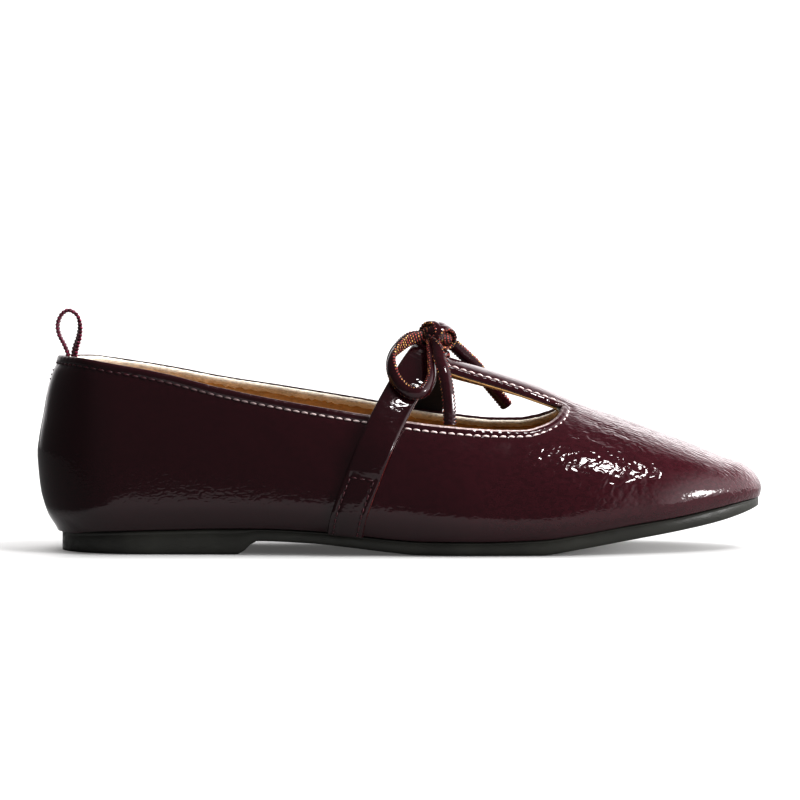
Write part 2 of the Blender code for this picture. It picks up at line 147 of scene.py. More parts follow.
# Height of the ridge; behind the T-bar's end it is the line that the sides lean towards
Ridge = namedtuple("Ridge", "x height")
RIDGE = (
    Ridge(-128, 94.0),
    Ridge(-95, 95.0),
    Ridge(-60, 91.0),
    Ridge(-30, 83.0),
    Ridge(0, 73.0),
    Ridge(10, 70.0),
    Ridge(21, 66.3),
    Ridge(37.5, 61.2),
    Ridge(51, 56.6),
    Ridge(60, 52.4),
    Ridge(68, 49.2),
    Ridge(76.5, 46.5),
    Ridge(91, 41.3),
    Ridge(105, 36.0),
    Ridge(116, 31.6),
    Ridge(128, 28.8),
)

# Heel curve and nose, as setback from the two ends at each height
Setback = namedtuple("Setback", "height heel nose")
ENDS = (
    Setback(0, 10.4, 2.6),
    Setback(8, 7.0, 2.0),
    Setback(12, 4.5, 1.4),
    Setback(17, 2.7, 0.9),
    Setback(21, 1.7, 0.0),
    Setback(28, 0.9, 0.0),
    Setback(34, 0.5, 0.0),
    Setback(40, 1.2, 0.0),
    Setback(48, 2.7, 0.0),
    Setback(56, 4.1, 0.0),
    Setback(62, 5.8, 0.0),
    Setback(68, 8.2, 0.0),
)

# Sole unit: its top, where the upper sits, and its underside
SoleLine = namedtuple("SoleLine", "x top under")
SOLE = (
    SoleLine(-119, 6.6, 0.0),
    SoleLine(-104, 7.7, 0.0),
    SoleLine(-83, 8.4, 0.0),
    SoleLine(-56, 8.9, 0.0),
    SoleLine(-49.5, 8.9, 4.6),
    SoleLine(-31, 8.2, 3.9),
    SoleLine(-17, 7.0, 2.5),
    SoleLine(-4, 5.6, 1.0),
    SoleLine(8, 4.8, 0.0),
    SoleLine(27, 4.7, 0.0),
    SoleLine(48, 5.4, 0.0),
    SoleLine(62, 7.2, 1.9),
    SoleLine(77, 9.7, 4.4),
    SoleLine(97, 12.6, 7.7),
    SoleLine(112, 15.4, 10.6),
    SoleLine(121, 17.0, 13.1),
    SoleLine(128, 18.0, 15.6),
)

# Side of the sole from its top edge down: depth share and how far it stands in, with a rounded lip
Side = namedtuple("Side", "share inset")
SOLE_SIDE = (
    Side(0.0, 1.1),
    Side(0.015, 0.6),
    Side(0.05, 0.2),
    Side(0.10, 0.0),
    Side(0.15, 0.06),
    Side(0.19, 0.22),
    Side(0.23, 0.12),
    Side(0.35, 0.02),
    Side(0.50, 0.0),
    Side(0.70, 0.1),
    Side(0.86, 0.3),
    Side(0.93, 0.5),
    Side(0.98, 0.8),
    Side(1.0, 1.2),
)

# Topline: height of the collar edge on both sides, and the T-bar's half widths
Collar = namedtuple("Collar", "x lateral medial")
COLLAR = (
    Collar(-128, 67.8, 67.8),
    Collar(-112, 67.0, 67.4),
    Collar(-97, 64.8, 65.6),
    Collar(-81, 61.8, 63.0),
    Collar(-62, 57.0, 59.4),
    Collar(-44, 53.3, 56.7),
    Collar(-14, 48.2, 51.9),
    Collar(14, 44.2, 47.0),
    Collar(35, 42.6, 44.9),
    Collar(43, 42.5, 45.0),
    Collar(50, 44.0, 46.3),
    Collar(54.5, 46.3, 48.0),
    Collar(56.8, 48.8, 49.4),
    Collar(57.5, 50.4, 50.6),
)
TBar = namedtuple("TBar", "x lateral medial")
TBAR = (
    TBar(5, 9.0, 10.0),
    TBar(20, 9.6, 10.8),
    TBar(38, 9.9, 10.8),
    TBar(50, 10.5, 10.9),
    TBar(55, 10.3, 10.4),
    TBar(57.5, 9.0, 9.0),
)

# Bow loop on the last: station, lift, how high its middle stands off the skin, and its lean in degrees,
# which turns the patent face to the viewer when positive and the twill back when negative
Perch = namedtuple("Perch", "station lift stand lean")
LOOP_LINE = (
    Perch(6.2, 0.90, 4.8, -26.0),
    Perch(2.6, 0.845, 4.7, -26.0),
    Perch(-0.8, 0.76, 4.6, -22.0),
    Perch(-3.4, 0.68, 4.6, 0.0),
    Perch(-4.0, 0.61, 4.6, 26.0),
    Perch(-2.0, 0.54, 4.6, 40.0),
    Perch(2.6, 0.50, 4.6, 46.0),
    Perch(7.4, 0.52, 4.6, 46.0),
    Perch(10.0, 0.60, 4.6, 46.0),
    Perch(10.0, 0.70, 4.6, 50.0),
    Perch(9.6, 0.79, 4.6, 50.0),
    Perch(9.4, 0.87, 4.7, 44.0),
)

# Ribbon and tape lines: the centre of the strip, and the way its width points
Spot = namedtuple("Spot", "x y z")
TAIL_NEAR = (
    Spot(11.2, -6.8, 74.0),
    Spot(12.0, -11.5, 72.2),
    Spot(13.4, -16.8, 68.6),
    Spot(15.0, -21.6, 63.6),
    Spot(16.3, -24.6, 57.6),
    Spot(17.0, -25.6, 51.0),
    Spot(17.2, -25.8, 44.6),
)
TAIL_NEAR_WIDE = Spot(0.998, 0.06, 0.0)
TAIL_NEAR_TWIST = 140.0
TAIL_FAR = (
    Spot(19.0, 4.2, 71.6),
    Spot(22.2, 6.4, 68.6),
    Spot(26.4, 9.8, 64.6),
    Spot(29.8, 13.6, 60.2),
    Spot(33.0, 16.6, 56.0),
    Spot(36.0, 18.6, 52.4),
    Spot(38.4, 20.0, 49.4),
)
TAIL_FAR_WIDE = Spot(0.1, -0.45, 0.9)
PULL_LINE = (
    Spot(-116.9, -3.0, 60.6),
    Spot(-116.7, -3.0, 67.6),
    Spot(-118.0, -3.0, 71.6),
    Spot(-119.9, -3.0, 75.4),
    Spot(-120.4, -3.0, 79.0),
    Spot(-119.1, -3.0, 82.4),
    Spot(-116.5, -3.0, 84.0),
    Spot(-113.6, -3.0, 82.2),
    Spot(-112.6, -3.0, 78.6),
    Spot(-113.0, -3.0, 74.6),
    Spot(-114.2, -3.0, 70.6),
    Spot(-114.8, -3.0, 66.6),
    Spot(-114.8, -3.0, 60.6),
)

# Main creases on the last, as lines between two places: soft troughs with a low ridge on both sides
Crease = namedtuple("Crease", "side start_x start_lift end_x end_lift depth width")
CREASES = (
    Crease(-1, 60.0, 0.72, 84.0, 0.60, 0.16, 1.7),
    Crease(-1, 60.5, 0.58, 80.0, 0.47, 0.14, 1.9),
    Crease(-1, 59.0, 0.45, 74.0, 0.36, 0.10, 2.1),
    Crease(-1, 66.0, 0.86, 92.0, 0.80, 0.10, 2.0),
    Crease(1, 60.0, 0.70, 82.0, 0.58, 0.16, 1.8),
    Crease(1, 60.5, 0.54, 78.0, 0.44, 0.13, 2.0),
    Crease(1, 62.0, 0.38, 76.0, 0.30, 0.10, 2.2),
    Crease(-1, 22.0, 0.26, 40.0, 0.05, 0.10, 3.2),
    Crease(-1, 34.0, 0.30, 52.0, 0.10, 0.05, 2.8),
    Crease(1, 24.0, 0.28, 42.0, 0.06, 0.16, 3.2),
    Crease(1, 38.0, 0.30, 54.0, 0.12, 0.12, 2.6),
    Crease(-1, -34.0, 0.30, -14.0, 0.05, 0.18, 3.4),
    Crease(-1, -58.0, 0.34, -36.0, 0.08, 0.14, 3.8),
    Crease(1, -40.0, 0.36, -16.0, 0.04, 0.20, 3.6),
    Crease(1, -66.0, 0.34, -46.0, 0.08, 0.14, 3.8),
    Crease(-1, -108.0, -0.10, -84.0, -0.30, 0.12, 2.6),
    Crease(1, -110.0, -0.10, -86.0, -0.30, 0.12, 2.6),
    Crease(-1, 88.0, 0.10, 104.0, 0.02, 0.10, 2.4),
    Crease(1, 86.0, 0.12, 102.0, 0.04, 0.10, 2.4),
)

# Fullness of the vamp: its middle on the last, how far it rises and its reach along and up the shoe
Swell = namedtuple("Swell", "station lift rise long tall")
VAMP_SWELL = Swell(65.0, 0.34, 1.3, 15.0, 19.0)

# Where the grain opens up: a patch on the flexed vamp, by its middle and reach, and ripples on its top
FLEX_CENTRE = (66.0, 0.0, 31.0)
FLEX_REACH = (23.0, 400.0, 13.5)
FLEX_OPEN = 2.3
RIPPLE_FROM_X = 48.0
RIPPLE_TO_X = 62.0
RIPPLE_EDGE = 21.0
RIPPLE_FULL = 13.0
RIPPLE_OPEN = 1.2

# Wrinkles that open up there: width as a share of the grain's, stretch, turn in degrees and share of cells
Wrinkle = namedtuple("Wrinkle", "size stretch turn cells")
STREAKS = Wrinkle(2.0, 0.45, 50.0, 0.1)
RIPPLES = Wrinkle(0.85, 0.34, -18.0, 0.55)

# Shares of the patent's colour: at the heel, darker as painted shade, at the toe, brighter as painted light,
# and on the strap, darker all over
HEEL_PAINTED_SHADE = 0.66
TOE_PAINTED_LIGHT = 2.4
STRAP_TONE = 0.68

# Stations from which the painted highlight on the topline's thread and fold begins, where it is full, and
# where the fold's fades; and the fold's rows that carry it
THREAD_HIGHLIGHT_X = -95.0
FOLD_HIGHLIGHT_X = -25.0
HIGHLIGHT_FULL_X = 28.0
FOLD_HIGHLIGHT_FADE_X = 44.0
FOLD_HIGHLIGHT_ROWS = slice(0, 4)

# Heights where the painted highlight on the strap's painted edge begins and where it is full, from below and
# from above
STRAP_EDGE_HIGHLIGHT = ((34.0, 40.0), (56.0, 50.0))

# Relief of the sewn margin: how far each of its forms rises or sinks
Margin = namedtuple("Margin", "swell groove lip rim turned")
SEWN_MARGIN = Margin(0.26, 0.30, 0.05, 0.10, 1.1)

# Back seam: how far its ridges and its trough stand out, their distance from it and their width
Relief = namedtuple("Relief", "amount gap width")
BACK_SEAM = (Relief(0.12, 1.6, 0.9), Relief(-0.30, 0.0, 0.55))

# Strap: its rows of stitches from the edge, and by height its roll and the wrinkles under the bow
STRAP_INSET = 2.0
Bend = namedtuple("Bend", "amount height reach")
STRAP_ROLL = Bend(math.radians(7.0), 46.0, 7.5)
STRAP_WRINKLES = (Bend(1.0, 58.0, 3.6), Bend(0.6, 66.0, 2.6))

# Steps of the lower edges, down and inward: the patent's lasting margin and the lining's skirt
LASTING_MARGIN = ((0.15, 0.1), (0.25, 0.6), (0.25, 2.0), (0.25, 6.0))
LINING_SKIRT = ((-0.4, 1.0), (-0.4, 2.5), (0.5, 6.0))

# Columns and rows of a net over the last
Density = namedtuple("Density", "rear bar toe low wall top")
FINE = Density(300, 140, 84, 12, 34, 16)
PLAIN = Density(120, 60, 40, 6, 18, 9)


def length_property(name, description, default):
    """Size that a user may change, given in millimetres."""
    return bpy.props.FloatProperty(name=name, description=description, default=default * MM, unit="LENGTH")


def share_property(name, description, default):
    """Share that a user may change."""
    return bpy.props.FloatProperty(name=name, description=description, default=default, subtype="FACTOR")


def colour_property(name, description, default):
    """Linear colour that a user may change."""
    return bpy.props.FloatVectorProperty(name=name, description=description, default=default, size=3,
                                         subtype="COLOR")


class ShoeSizes(bpy.types.PropertyGroup):
    """Sizes of the sewn and finished detail"""

    stitch_pitch: length_property("Stitch pitch", "Length of one stitch along an edge", 3.0)
    stitch_inset: length_property("Stitch inset", "From the folded edge to its row of stitches", 1.9)
    thread: length_property("Thread", "Thickness of the sewing thread", 0.75)
    fold: length_property("Fold", "Radius of the patent's folded edge", 0.75)
    lining_drop: length_property("Lining drop", "From the patent's edge line down to the lining's edge", -0.3)
    lining_thick: length_property("Lining thickness", "Thickness of the lining cloth", 0.6)
    strap_bulge: length_property("Strap bulge", "How far the strap stands off above its sewn box", 1.5)
    box_height: length_property("Box height", "Height of the sewn box's top row over the floor", 27.0)


class ShoeFinish(bpy.types.PropertyGroup):
    """Colours, gloss and grain of the shoe's materials"""

    patent: colour_property("Patent", "Crinkled patent", (0.0245, 0.0037, 0.0063))
    patent_gloss: share_property("Patent roughness", "Roughness of the lacquer", 0.075)
    grain: length_property("Grain", "Width of one wrinkle of the crinkled lacquer", 1.05)
    grain_depth: length_property("Grain depth", "Depth of the wrinkles at full strength", 0.16)
    quiet_grain: share_property("Quiet grain", "Share of the grain's depth all over the patent", 0.26)
    lining: colour_property("Lining", "Brushed lining and sock", (0.48, 0.28, 0.105))
    # Painted highlight: pale colour on the fold, the thread and the strap's edge where they would catch the
    # light
    painted_highlight: colour_property("Painted highlight", "Fold and thread where they catch the light around the throat",
                            (0.74, 0.62, 0.60))
    raw_edge: colour_property("Raw edge", "Cut edge of the lining", (0.74, 0.69, 0.60))
    rubber: colour_property("Rubber", "Moulded sole", (0.023, 0.023, 0.0192))
    ribbon: colour_property("Ribbon", "Dark ground of the ribbon's twill", (0.012, 0.0025, 0.0035))
    ribbon_thread: colour_property("Ribbon thread", "Light ribs of the ribbon's twill", (0.45, 0.075, 0.06))
    # Painted highlight: golden glints on the twill stand for warm light caught by its threads
    ribbon_glint: colour_property("Ribbon glint", "Painted golden glints on the twill", (0.86, 0.52, 0.17))
    tape: colour_property("Tape", "Pull loop tape", (0.16, 0.014, 0.045))
    floor: colour_property("Floor", "Plain studio floor", (0.40, 0.40, 0.40))


def clamp(value, low, high):
    return max(low, min(high, value))


def ease(value):
    f = clamp(value, 0.0, 1.0)
    return f * f * (3.0 - 2.0 * f)


def bell(distance, width):
    """Soft bump that falls off to nothing at about two widths."""
    return math.exp(-(distance / width) ** 2)


def smooth(rows, column, key="x"):
    """Smooth function through one column of a table that doesn't overshoot its rows."""
    keys = [getattr(row, key) for row in rows]
    values = [getattr(row, column) for row in rows]
    rises = [(v1 - v0) / (k1 - k0) for k0, k1, v0, v1 in zip(keys, keys[1:], values, values[1:])]
    slopes = [rises[0]]
    for before, after in zip(rises, rises[1:]):
        turning = before * after <= 0.0
        slopes.append(0.0 if turning else 2.0 * before * after / (before + after))
    slopes.append(rises[-1])

    def at(key_value):
        place = clamp(key_value, keys[0], keys[-1])
        i = clamp(bisect_right(keys, place) - 1, 0, len(rises) - 1)
        span = keys[i + 1] - keys[i]
        f = (place - keys[i]) / span
        start = values[i] * (1 + 2 * f) * (1 - f) ** 2 + slopes[i] * span * f * (1 - f) ** 2
        end = values[i + 1] * f * f * (3 - 2 * f) + slopes[i + 1] * span * f * f * (f - 1)
        return start + end

    return at


spine_at = smooth(LAST, "spine")
half_at = {-1: smooth(LAST, "lateral"), 1: smooth(LAST, "medial")}
tuck_at = smooth(LAST, "tuck")
widest_at = smooth(LAST, "widest")
side_at = smooth(LAST, "side")
crown_at = smooth(LAST, "crown")
ridge_at = smooth(RIDGE, "height")
heel_setback = smooth(ENDS, "heel", "height")
nose_setback = smooth(ENDS, "nose", "height")
sole_top = smooth(SOLE, "top")
sole_under = smooth(SOLE, "under")
collar_at = {-1: smooth(COLLAR, "lateral"), 1: smooth(COLLAR, "medial")}
bar_half_at = {-1: smooth(TBAR, "lateral"), 1: smooth(TBAR, "medial")}


def rounded_end(distance, length):
    """Share of the full breadth at a distance from a rounded end."""
    if distance >= length:
        return 1.0
    return math.sqrt(max(0.0, 1.0 - (1.0 - max(0.0, distance) / length) ** 2))


def ends_share(station):
    return rounded_end(station - BACK_X, HEEL_ROUND) * rounded_end(TOE_X - station, TOE_ROUND)


def arch(a, b, c, d, t):
    """Cubic through control values a, b, c, d."""
    s = 1.0 - t
    return a * s ** 3 + 3.0 * b * s * s * t + 3.0 * c * s * t * t + d * t ** 3


def ridge_height(station):
    low = widest_at(station)
    return low + (ridge_at(station) - low) * rounded_end(TOE_X - station, NOSE_ROUND)


def skin(station, side, lift):
    """Point on the outside of the last: lift -1 at the sole, 0 at the widest line, 1 on the ridge."""
    low = sole_top(station) + FIT_GAP
    widest = widest_at(station)
    share = ends_share(station)
    half = half_at[side](station)
    if lift <= 0.0:
        height = widest + lift * (widest - low)
        breadth = (half - tuck_at(station) * lift * lift) * share
    else:
        top = ridge_height(station)
        height = arch(widest, widest + side_at(station) * (top - widest), top, top, lift)
        breadth = share * arch(half, half, crown_at(station) * half, 0.0, lift)
    heel_fade = 1.0 - ease((station - BACK_X) / BACK_FADE)
    nose_fade = 1.0 - ease((TOE_X - station) / NOSE_FADE)
    x = station + heel_setback(height) * heel_fade - nose_setback(height) * nose_fade
    return Vector((x, spine_at(station) + side * breadth, height))


def outward(station, side, lift):
    """Outward normal of the last."""
    along = skin(station + 0.5, side, lift) - skin(station - 0.5, side, lift)
    up = skin(station, side, min(lift + 0.01, 0.9999)) - skin(station, side, lift - 0.01)
    return (along.cross(up) * -side).normalized()


def lift_where(test):
    """Lift above the widest line at which a rising test turns true."""
    low, high = 0.0, 1.0
    for _ in range(30):
        middle = 0.5 * (low + high)
        if test(middle):
            high = middle
        else:
            low = middle
    return 0.5 * (low + high)


class Opening:
    """Edge of the shoe's opening, drawn back from the collar and the T-bar by a margin."""

    def __init__(self, margin):
        self.margin = margin
        self.throat = THROAT_X + margin
        self.throat_lift = {side: self.collar_lift(self.throat, side) for side in SIDES}

    def collar_lift(self, station, side):
        edge = collar_at[side](station) - self.margin
        return lift_where(lambda lift: skin(station, side, lift).z >= edge)

    def bar_lift(self, station, side):
        half = bar_half_at[side](station) - self.margin
        spine = spine_at(station)
        return lift_where(lambda lift: abs(skin(station, side, lift).y - spine) <= half)

    def seam_lift(self, station, side):
        """Lift of the row that carries the opening's lower edge and runs on to the toe."""
        if station <= self.throat:
            return self.collar_lift(station, side)
        f = (station - self.throat) / (TOE_X - self.throat)
        return self.throat_lift[side] + (TOE_SEAM_LIFT - self.throat_lift[side]) * ease(f)

    def bar_edge_lift(self, station, side):
        """Lift of the T-bar's edge, which closes onto the lower edge at the throat."""
        f = clamp((self.throat - station) / THROAT_CLOSE, 0.0, 1.0)
        closing = math.sqrt(1.0 - (1.0 - f) ** 2)
        return self.throat_lift[side] + (self.bar_lift(station, side) - self.throat_lift[side]) * closing

    def bar_start(self):
        return TBAR_END_X + self.margin

    def stations(self, density):
        """Stations from heel to toe, even along the collar, closer at the throat and the toe."""
        start = self.bar_start()
        rear = evenly(lambda x: skin(x, -1, self.collar_lift(x, -1)), BACK_X, start, density.rear)[:-1]
        bar = [self.throat - (self.throat - start) * (1.0 - i / density.bar) ** 1.6
               for i in range(density.bar)]
        toe = [self.throat + (TOE_X - self.throat) * 0.5 * (1.0 - math.cos(math.pi * i / density.toe))
               for i in range(density.toe + 1)]
        return rear + bar + toe

    def path(self):
        """Places around the opening, as station, side and lift: outer collar, T-bar, inner collar."""
        start = self.bar_start()
        rear = evenly(lambda x: skin(x, -1, self.collar_lift(x, -1)), BACK_X, self.throat, 240)
        bar = [start + (self.throat - start) * (1.0 - (1.0 - i / 80) ** 2) for i in range(81)]
        places = [(x, -1, self.collar_lift(x, -1)) for x in rear]
        places += [(x, -1, self.bar_edge_lift(x, -1)) for x in reversed(bar)]
        across = [i / 8 for i in range(1, 8)]
        edge = {side: self.bar_edge_lift(start, side) for side in SIDES}
        places += [(start, -1, edge[-1] + (1.0 - edge[-1]) * f) for f in across]
        places += [(start, 1, 1.0 - (1.0 - edge[1]) * f) for f in across]
        places += [(x, 1, self.bar_edge_lift(x, 1)) for x in bar]
        places += [(x, 1, self.collar_lift(x, 1)) for x in reversed(rear)]
        return places


def evenly(curve, start, end, count):
    """Parameters at even distances along a curve, both ends kept."""
    fine = 500
    params = [start + (end - start) * (i / fine) ** 1.5 for i in range(fine + 1)]
    lengths = arc_lengths([curve(param) for param in params])
    found = []
    for i in range(count + 1):
        goal = lengths[-1] * i / count
        k = clamp(bisect_right(lengths, goal) - 1, 0, fine - 1)
        f = (goal - lengths[k]) / max(lengths[k + 1] - lengths[k], 1e-9)
        found.append(params[k] + (params[k + 1] - params[k]) * clamp(f, 0.0, 1.0))
    return found


def flowing(spots, steps):
    """Smooth line through the spots, with a number of steps to each span."""
    line = [Vector(spot) for spot in spots]
    line = [line[0] * 2.0 - line[1]] + line + [line[-1] * 2.0 - line[-2]]
    points = []
    for a, b, c, d in zip(line, line[1:], line[2:], line[3:]):
        for i in range(steps):
            t = i / steps
            points.append(0.5 * (2.0 * b + (c - a) * t + (2.0 * a - 5.0 * b + 4.0 * c - d) * t ** 2
                                 + (3.0 * b - a - 3.0 * c + d) * t ** 3))
    return points + [line[-2]]


def arc_lengths(points):
    """Distance of each point along its line."""
    lengths = [0.0]
    for here, ahead in zip(points, points[1:]):
        lengths.append(lengths[-1] + (ahead - here).length)
    return lengths


Frame = namedtuple("Frame", "point across out width")


def square_frames(points, wide, width):
    """Frames along a line, square to it, with the strip's width pointing as wide says at each point."""
    frames = []
    for i, point in enumerate(points):
        along = (points[min(i + 1, len(points) - 1)] - points[max(i - 1, 0)]).normalized()
        across = (wide[i] - along * wide[i].dot(along)).normalized()
        frames.append(Frame(point, across, along.cross(across), width))
    return frames


def strap_station(side, lift, shift):
    """Station at which the strap's slanting plane, shifted along the shoe, meets a row of the last."""
    low, high = -70.0, 60.0
    for _ in range(40):
        middle = 0.5 * (low + high)
        point = skin(middle, side, lift)
        if point.x > STRAP_FOOT_X + shift + STRAP_LEAN * point.z + STRAP_SKEW * point.y:
            high = middle
        else:
            low = middle
    return 0.5 * (low + high)


def strap_frames():
    """Frames of the strap over the last from the outer side to the inner side."""
    lifts = [STRAP_LOW + (STRAP_HIGH - STRAP_LOW) * i / STRAP_STEPS for i in range(STRAP_STEPS + 1)]
    reach = 0.5 * STRAP_WIDTH * math.hypot(1.0, STRAP_LEAN)
    frames = []
    for side, order in ((-1, lifts), (1, list(reversed(lifts)))):
        for lift in order:
            edges = []
            for shift in (-reach, reach):
                station = strap_station(side, lift, shift)
                edges.append((skin(station, side, lift), outward(station, side, lift)))
            (rear, rear_out), (front, front_out) = edges
            out = (rear_out + front_out).normalized()
            across = front - rear
            middle = 0.5 * (rear + front) + out * (FIT_GAP + 0.1 + 0.5 * STRAP_THICK)
            frames.append(Frame(middle, across.normalized(), out, across.length))
    return frames


def fine_frames(frames, steps):
    """The same strip with more frames, on smooth lines through the given ones."""
    points = flowing([frame.point for frame in frames], steps)
    across = flowing([frame.across for frame in frames], steps)
    out = flowing([frame.out for frame in frames], steps)
    widths = flowing([(frame.width, 0.0, 0.0) for frame in frames], steps)
    return [Frame(p, a.normalized(), o.normalized(), w.x) for p, a, o, w in zip(points, across, out, widths)]


# Materials

class Nodes:
    """Short way to add and join the nodes of one tree."""

    def __init__(self, tree):
        self.tree = tree

    def add(self, kind, inputs=None, **settings):
        made = self.tree.nodes.new(kind)
        for name, value in settings.items():
            setattr(made, name, value)
        for name, value in (inputs or {}).items():
            if isinstance(value, bpy.types.NodeSocket):
                self.tree.links.new(value, made.inputs[name])
            else:
                made.inputs[name].default_value = value
        return made

    def join(self, source, socket):
        self.tree.links.new(source, socket)

    def place(self):
        """Place on the piece, in metres."""
        return self.add("ShaderNodeTexCoord").outputs["Object"]

    def axes(self, vector):
        return self.add("ShaderNodeSeparateXYZ", {"Vector": vector}).outputs

    def math(self, operation, first, second=0.0):
        return self.add("ShaderNodeMath", {0: first, 1: second}, operation=operation).outputs[0]

    def vector(self, operation, first, second=(0.0, 0.0, 0.0)):
        return self.add("ShaderNodeVectorMath", {0: first, 1: second}, operation=operation).outputs["Vector"]

    def spread(self, value, low, high, to_low=0.0, to_high=1.0):
        """Eases a value between two limits onto another range."""
        made = self.add("ShaderNodeMapRange", {"Value": value, "From Min": low, "From Max": high,
                                               "To Min": to_low, "To Max": to_high},
                        interpolation_type="SMOOTHSTEP")
        return made.outputs["Result"]

    def mix(self, share, first, second, blend="MIX"):
        made = self.add("ShaderNodeMix", {"Factor": share}, data_type="RGBA", blend_type=blend)
        for socket, value in zip([s for s in made.inputs if s.type == "RGBA"], (first, second)):
            if isinstance(value, bpy.types.NodeSocket):
                self.tree.links.new(value, socket)
            else:
                socket.default_value = (*value[:3], 1.0)
        return next(s for s in made.outputs if s.type == "RGBA")


def new_group(name, inputs, outputs):
    """Shader node group with named number inputs and outputs."""
    tree = bpy.data.node_groups.new(name, "ShaderNodeTree")
    for label, value in inputs:
        socket = tree.interface.new_socket(name=label, in_out="INPUT", socket_type="NodeSocketFloat")
        socket.default_value = value
    for label in outputs:
        tree.interface.new_socket(name=label, in_out="OUTPUT", socket_type="NodeSocketFloat")
    nodes = Nodes(tree)
    return nodes, nodes.add("NodeGroupInput").outputs, nodes.add("NodeGroupOutput")


def use_group(nodes, tree, values=None):
    made = nodes.add("ShaderNodeGroup", node_tree=tree)
    for name, value in (values or {}).items():
        made.inputs[name].default_value = value
    return made.outputs


def scaled_place(nodes, size):
    """Place on the piece in units of a size."""
    counts = nodes.math("DIVIDE", 1.0, size)
    scaled = nodes.add("ShaderNodeVectorMath", {0: nodes.place(), "Scale": counts}, operation="SCALE")
    return scaled.outputs["Vector"]


def crinkle_group():
    """Wrinkles of crinkled lacquer: short wavy ridges with finer cells between them, and the share of painted
    shade in their hollows.
    """
    nodes, given, out = new_group("Crinkle grain", (("Size", 1.9 * MM), ("Stretch", 0.55), ("Turn", 0.0),
                                                     ("Cells", 0.55)), ("Height", "Pits"))
    turned = nodes.add("ShaderNodeVectorRotate", {"Vector": scaled_place(nodes, given["Size"]),
                                                  "Angle": given["Turn"]}, rotation_type="Y_AXIS")
    axes = nodes.add("ShaderNodeCombineXYZ", {"X": given["Stretch"], "Y": 1.0, "Z": 1.0})
    place = nodes.vector("MULTIPLY", turned.outputs["Vector"], axes.outputs["Vector"])
    drift = nodes.add("ShaderNodeTexNoise", {"Vector": place, "Scale": 0.55, "Detail": 1.0})
    bend = nodes.vector("SUBTRACT", drift.outputs["Color"], (0.5, 0.5, 0.5))
    bent = nodes.vector("MULTIPLY_ADD", bend, (1.1, 1.1, 1.1))
    nodes.join(place, bent.node.inputs[2])
    folds = nodes.add("ShaderNodeTexNoise", {"Vector": bent, "Scale": 1.0, "Detail": 0.0, "Roughness": 0.45,
                                             "Distortion": 0.6})
    cells = nodes.add("ShaderNodeTexVoronoi", {"Vector": bent, "Scale": 0.8, "Smoothness": 0.2},
                      feature="SMOOTH_F1")
    domes = nodes.math("SUBTRACT", 1.0, cells.outputs["Distance"])
    height = nodes.math("MULTIPLY_ADD", folds.outputs["Fac"], 0.75)
    nodes.join(nodes.math("MULTIPLY", domes, given["Cells"]), height.node.inputs[2])
    nodes.join(height, out.inputs["Height"])
    # Painted shade: the hollows of the grain get a darker colour.
    hollow_shade = nodes.spread(height, 0.45, 0.75, 1.0, 0.0)
    nodes.join(hollow_shade, out.inputs["Pits"])
    return nodes.tree


def fibre_group():
    """Matted fibres of brushed cloth: soft mottling and a fine nap."""
    nodes, given, out = new_group("Fibre nap", (("Size", 0.6 * MM),), ("Mottle", "Nap"))
    place = scaled_place(nodes, given["Size"])
    long_place = nodes.vector("MULTIPLY", place, (0.35, 1.0, 1.0))
    fine = nodes.add("ShaderNodeTexNoise", {"Vector": long_place, "Scale": 1.0, "Detail": 3.0,
                                            "Roughness": 0.6})
    broad = nodes.add("ShaderNodeTexNoise", {"Vector": place, "Scale": 0.11, "Detail": 2.0})
    nodes.join(fine.outputs["Fac"], out.inputs["Nap"])
    mottle = nodes.math("ADD", nodes.math("MULTIPLY", fine.outputs["Fac"], 0.6),
                        nodes.math("MULTIPLY", broad.outputs["Fac"], 0.4))
    nodes.join(nodes.spread(mottle, 0.32, 0.68), out.inputs["Mottle"])
    return nodes.tree


def twill_group():
    """Slanting ribs of a woven strip, read from its strip map, with broken threads, and the spots for painted
    glints.
    """
    nodes, given, out = new_group("Twill ribs", (("Pitch", 1.0 * MM), ("Slant", 0.5)), ("Ribs", "Glints"))
    strip = nodes.axes(nodes.add("ShaderNodeUVMap", uv_map=STRIP_MAP).outputs["UV"])
    run = nodes.math("ADD", strip["X"], nodes.math("MULTIPLY", strip["Y"], given["Slant"]))
    turns = nodes.math("MULTIPLY", nodes.math("DIVIDE", run, given["Pitch"]), 2.0 * math.pi)
    wave = nodes.math("MULTIPLY_ADD", nodes.math("SINE", turns), 0.5)
    wave.node.inputs[2].default_value = 0.5
    back = nodes.math("SUBTRACT", strip["Y"], nodes.math("MULTIPLY", strip["X"], given["Slant"]))
    beats = nodes.math("MULTIPLY", nodes.math("DIVIDE", back, given["Pitch"]), 2.0 * math.pi)
    dashes = nodes.spread(nodes.math("SINE", beats), -0.7, 0.5, 0.15, 1.0)
    ribs = nodes.math("MULTIPLY", nodes.spread(wave, 0.45, 0.85), dashes)
    nodes.join(ribs, out.inputs["Ribs"])
    place = scaled_place(nodes, given["Pitch"])
    speck = nodes.add("ShaderNodeTexNoise", {"Vector": place, "Scale": 0.6, "Detail": 1.0})
    glints = nodes.math("MULTIPLY", nodes.spread(speck.outputs["Fac"], 0.49, 0.60),
                        nodes.spread(ribs, 0.5, 0.95))
    nodes.join(glints, out.inputs["Glints"])
    return nodes.tree


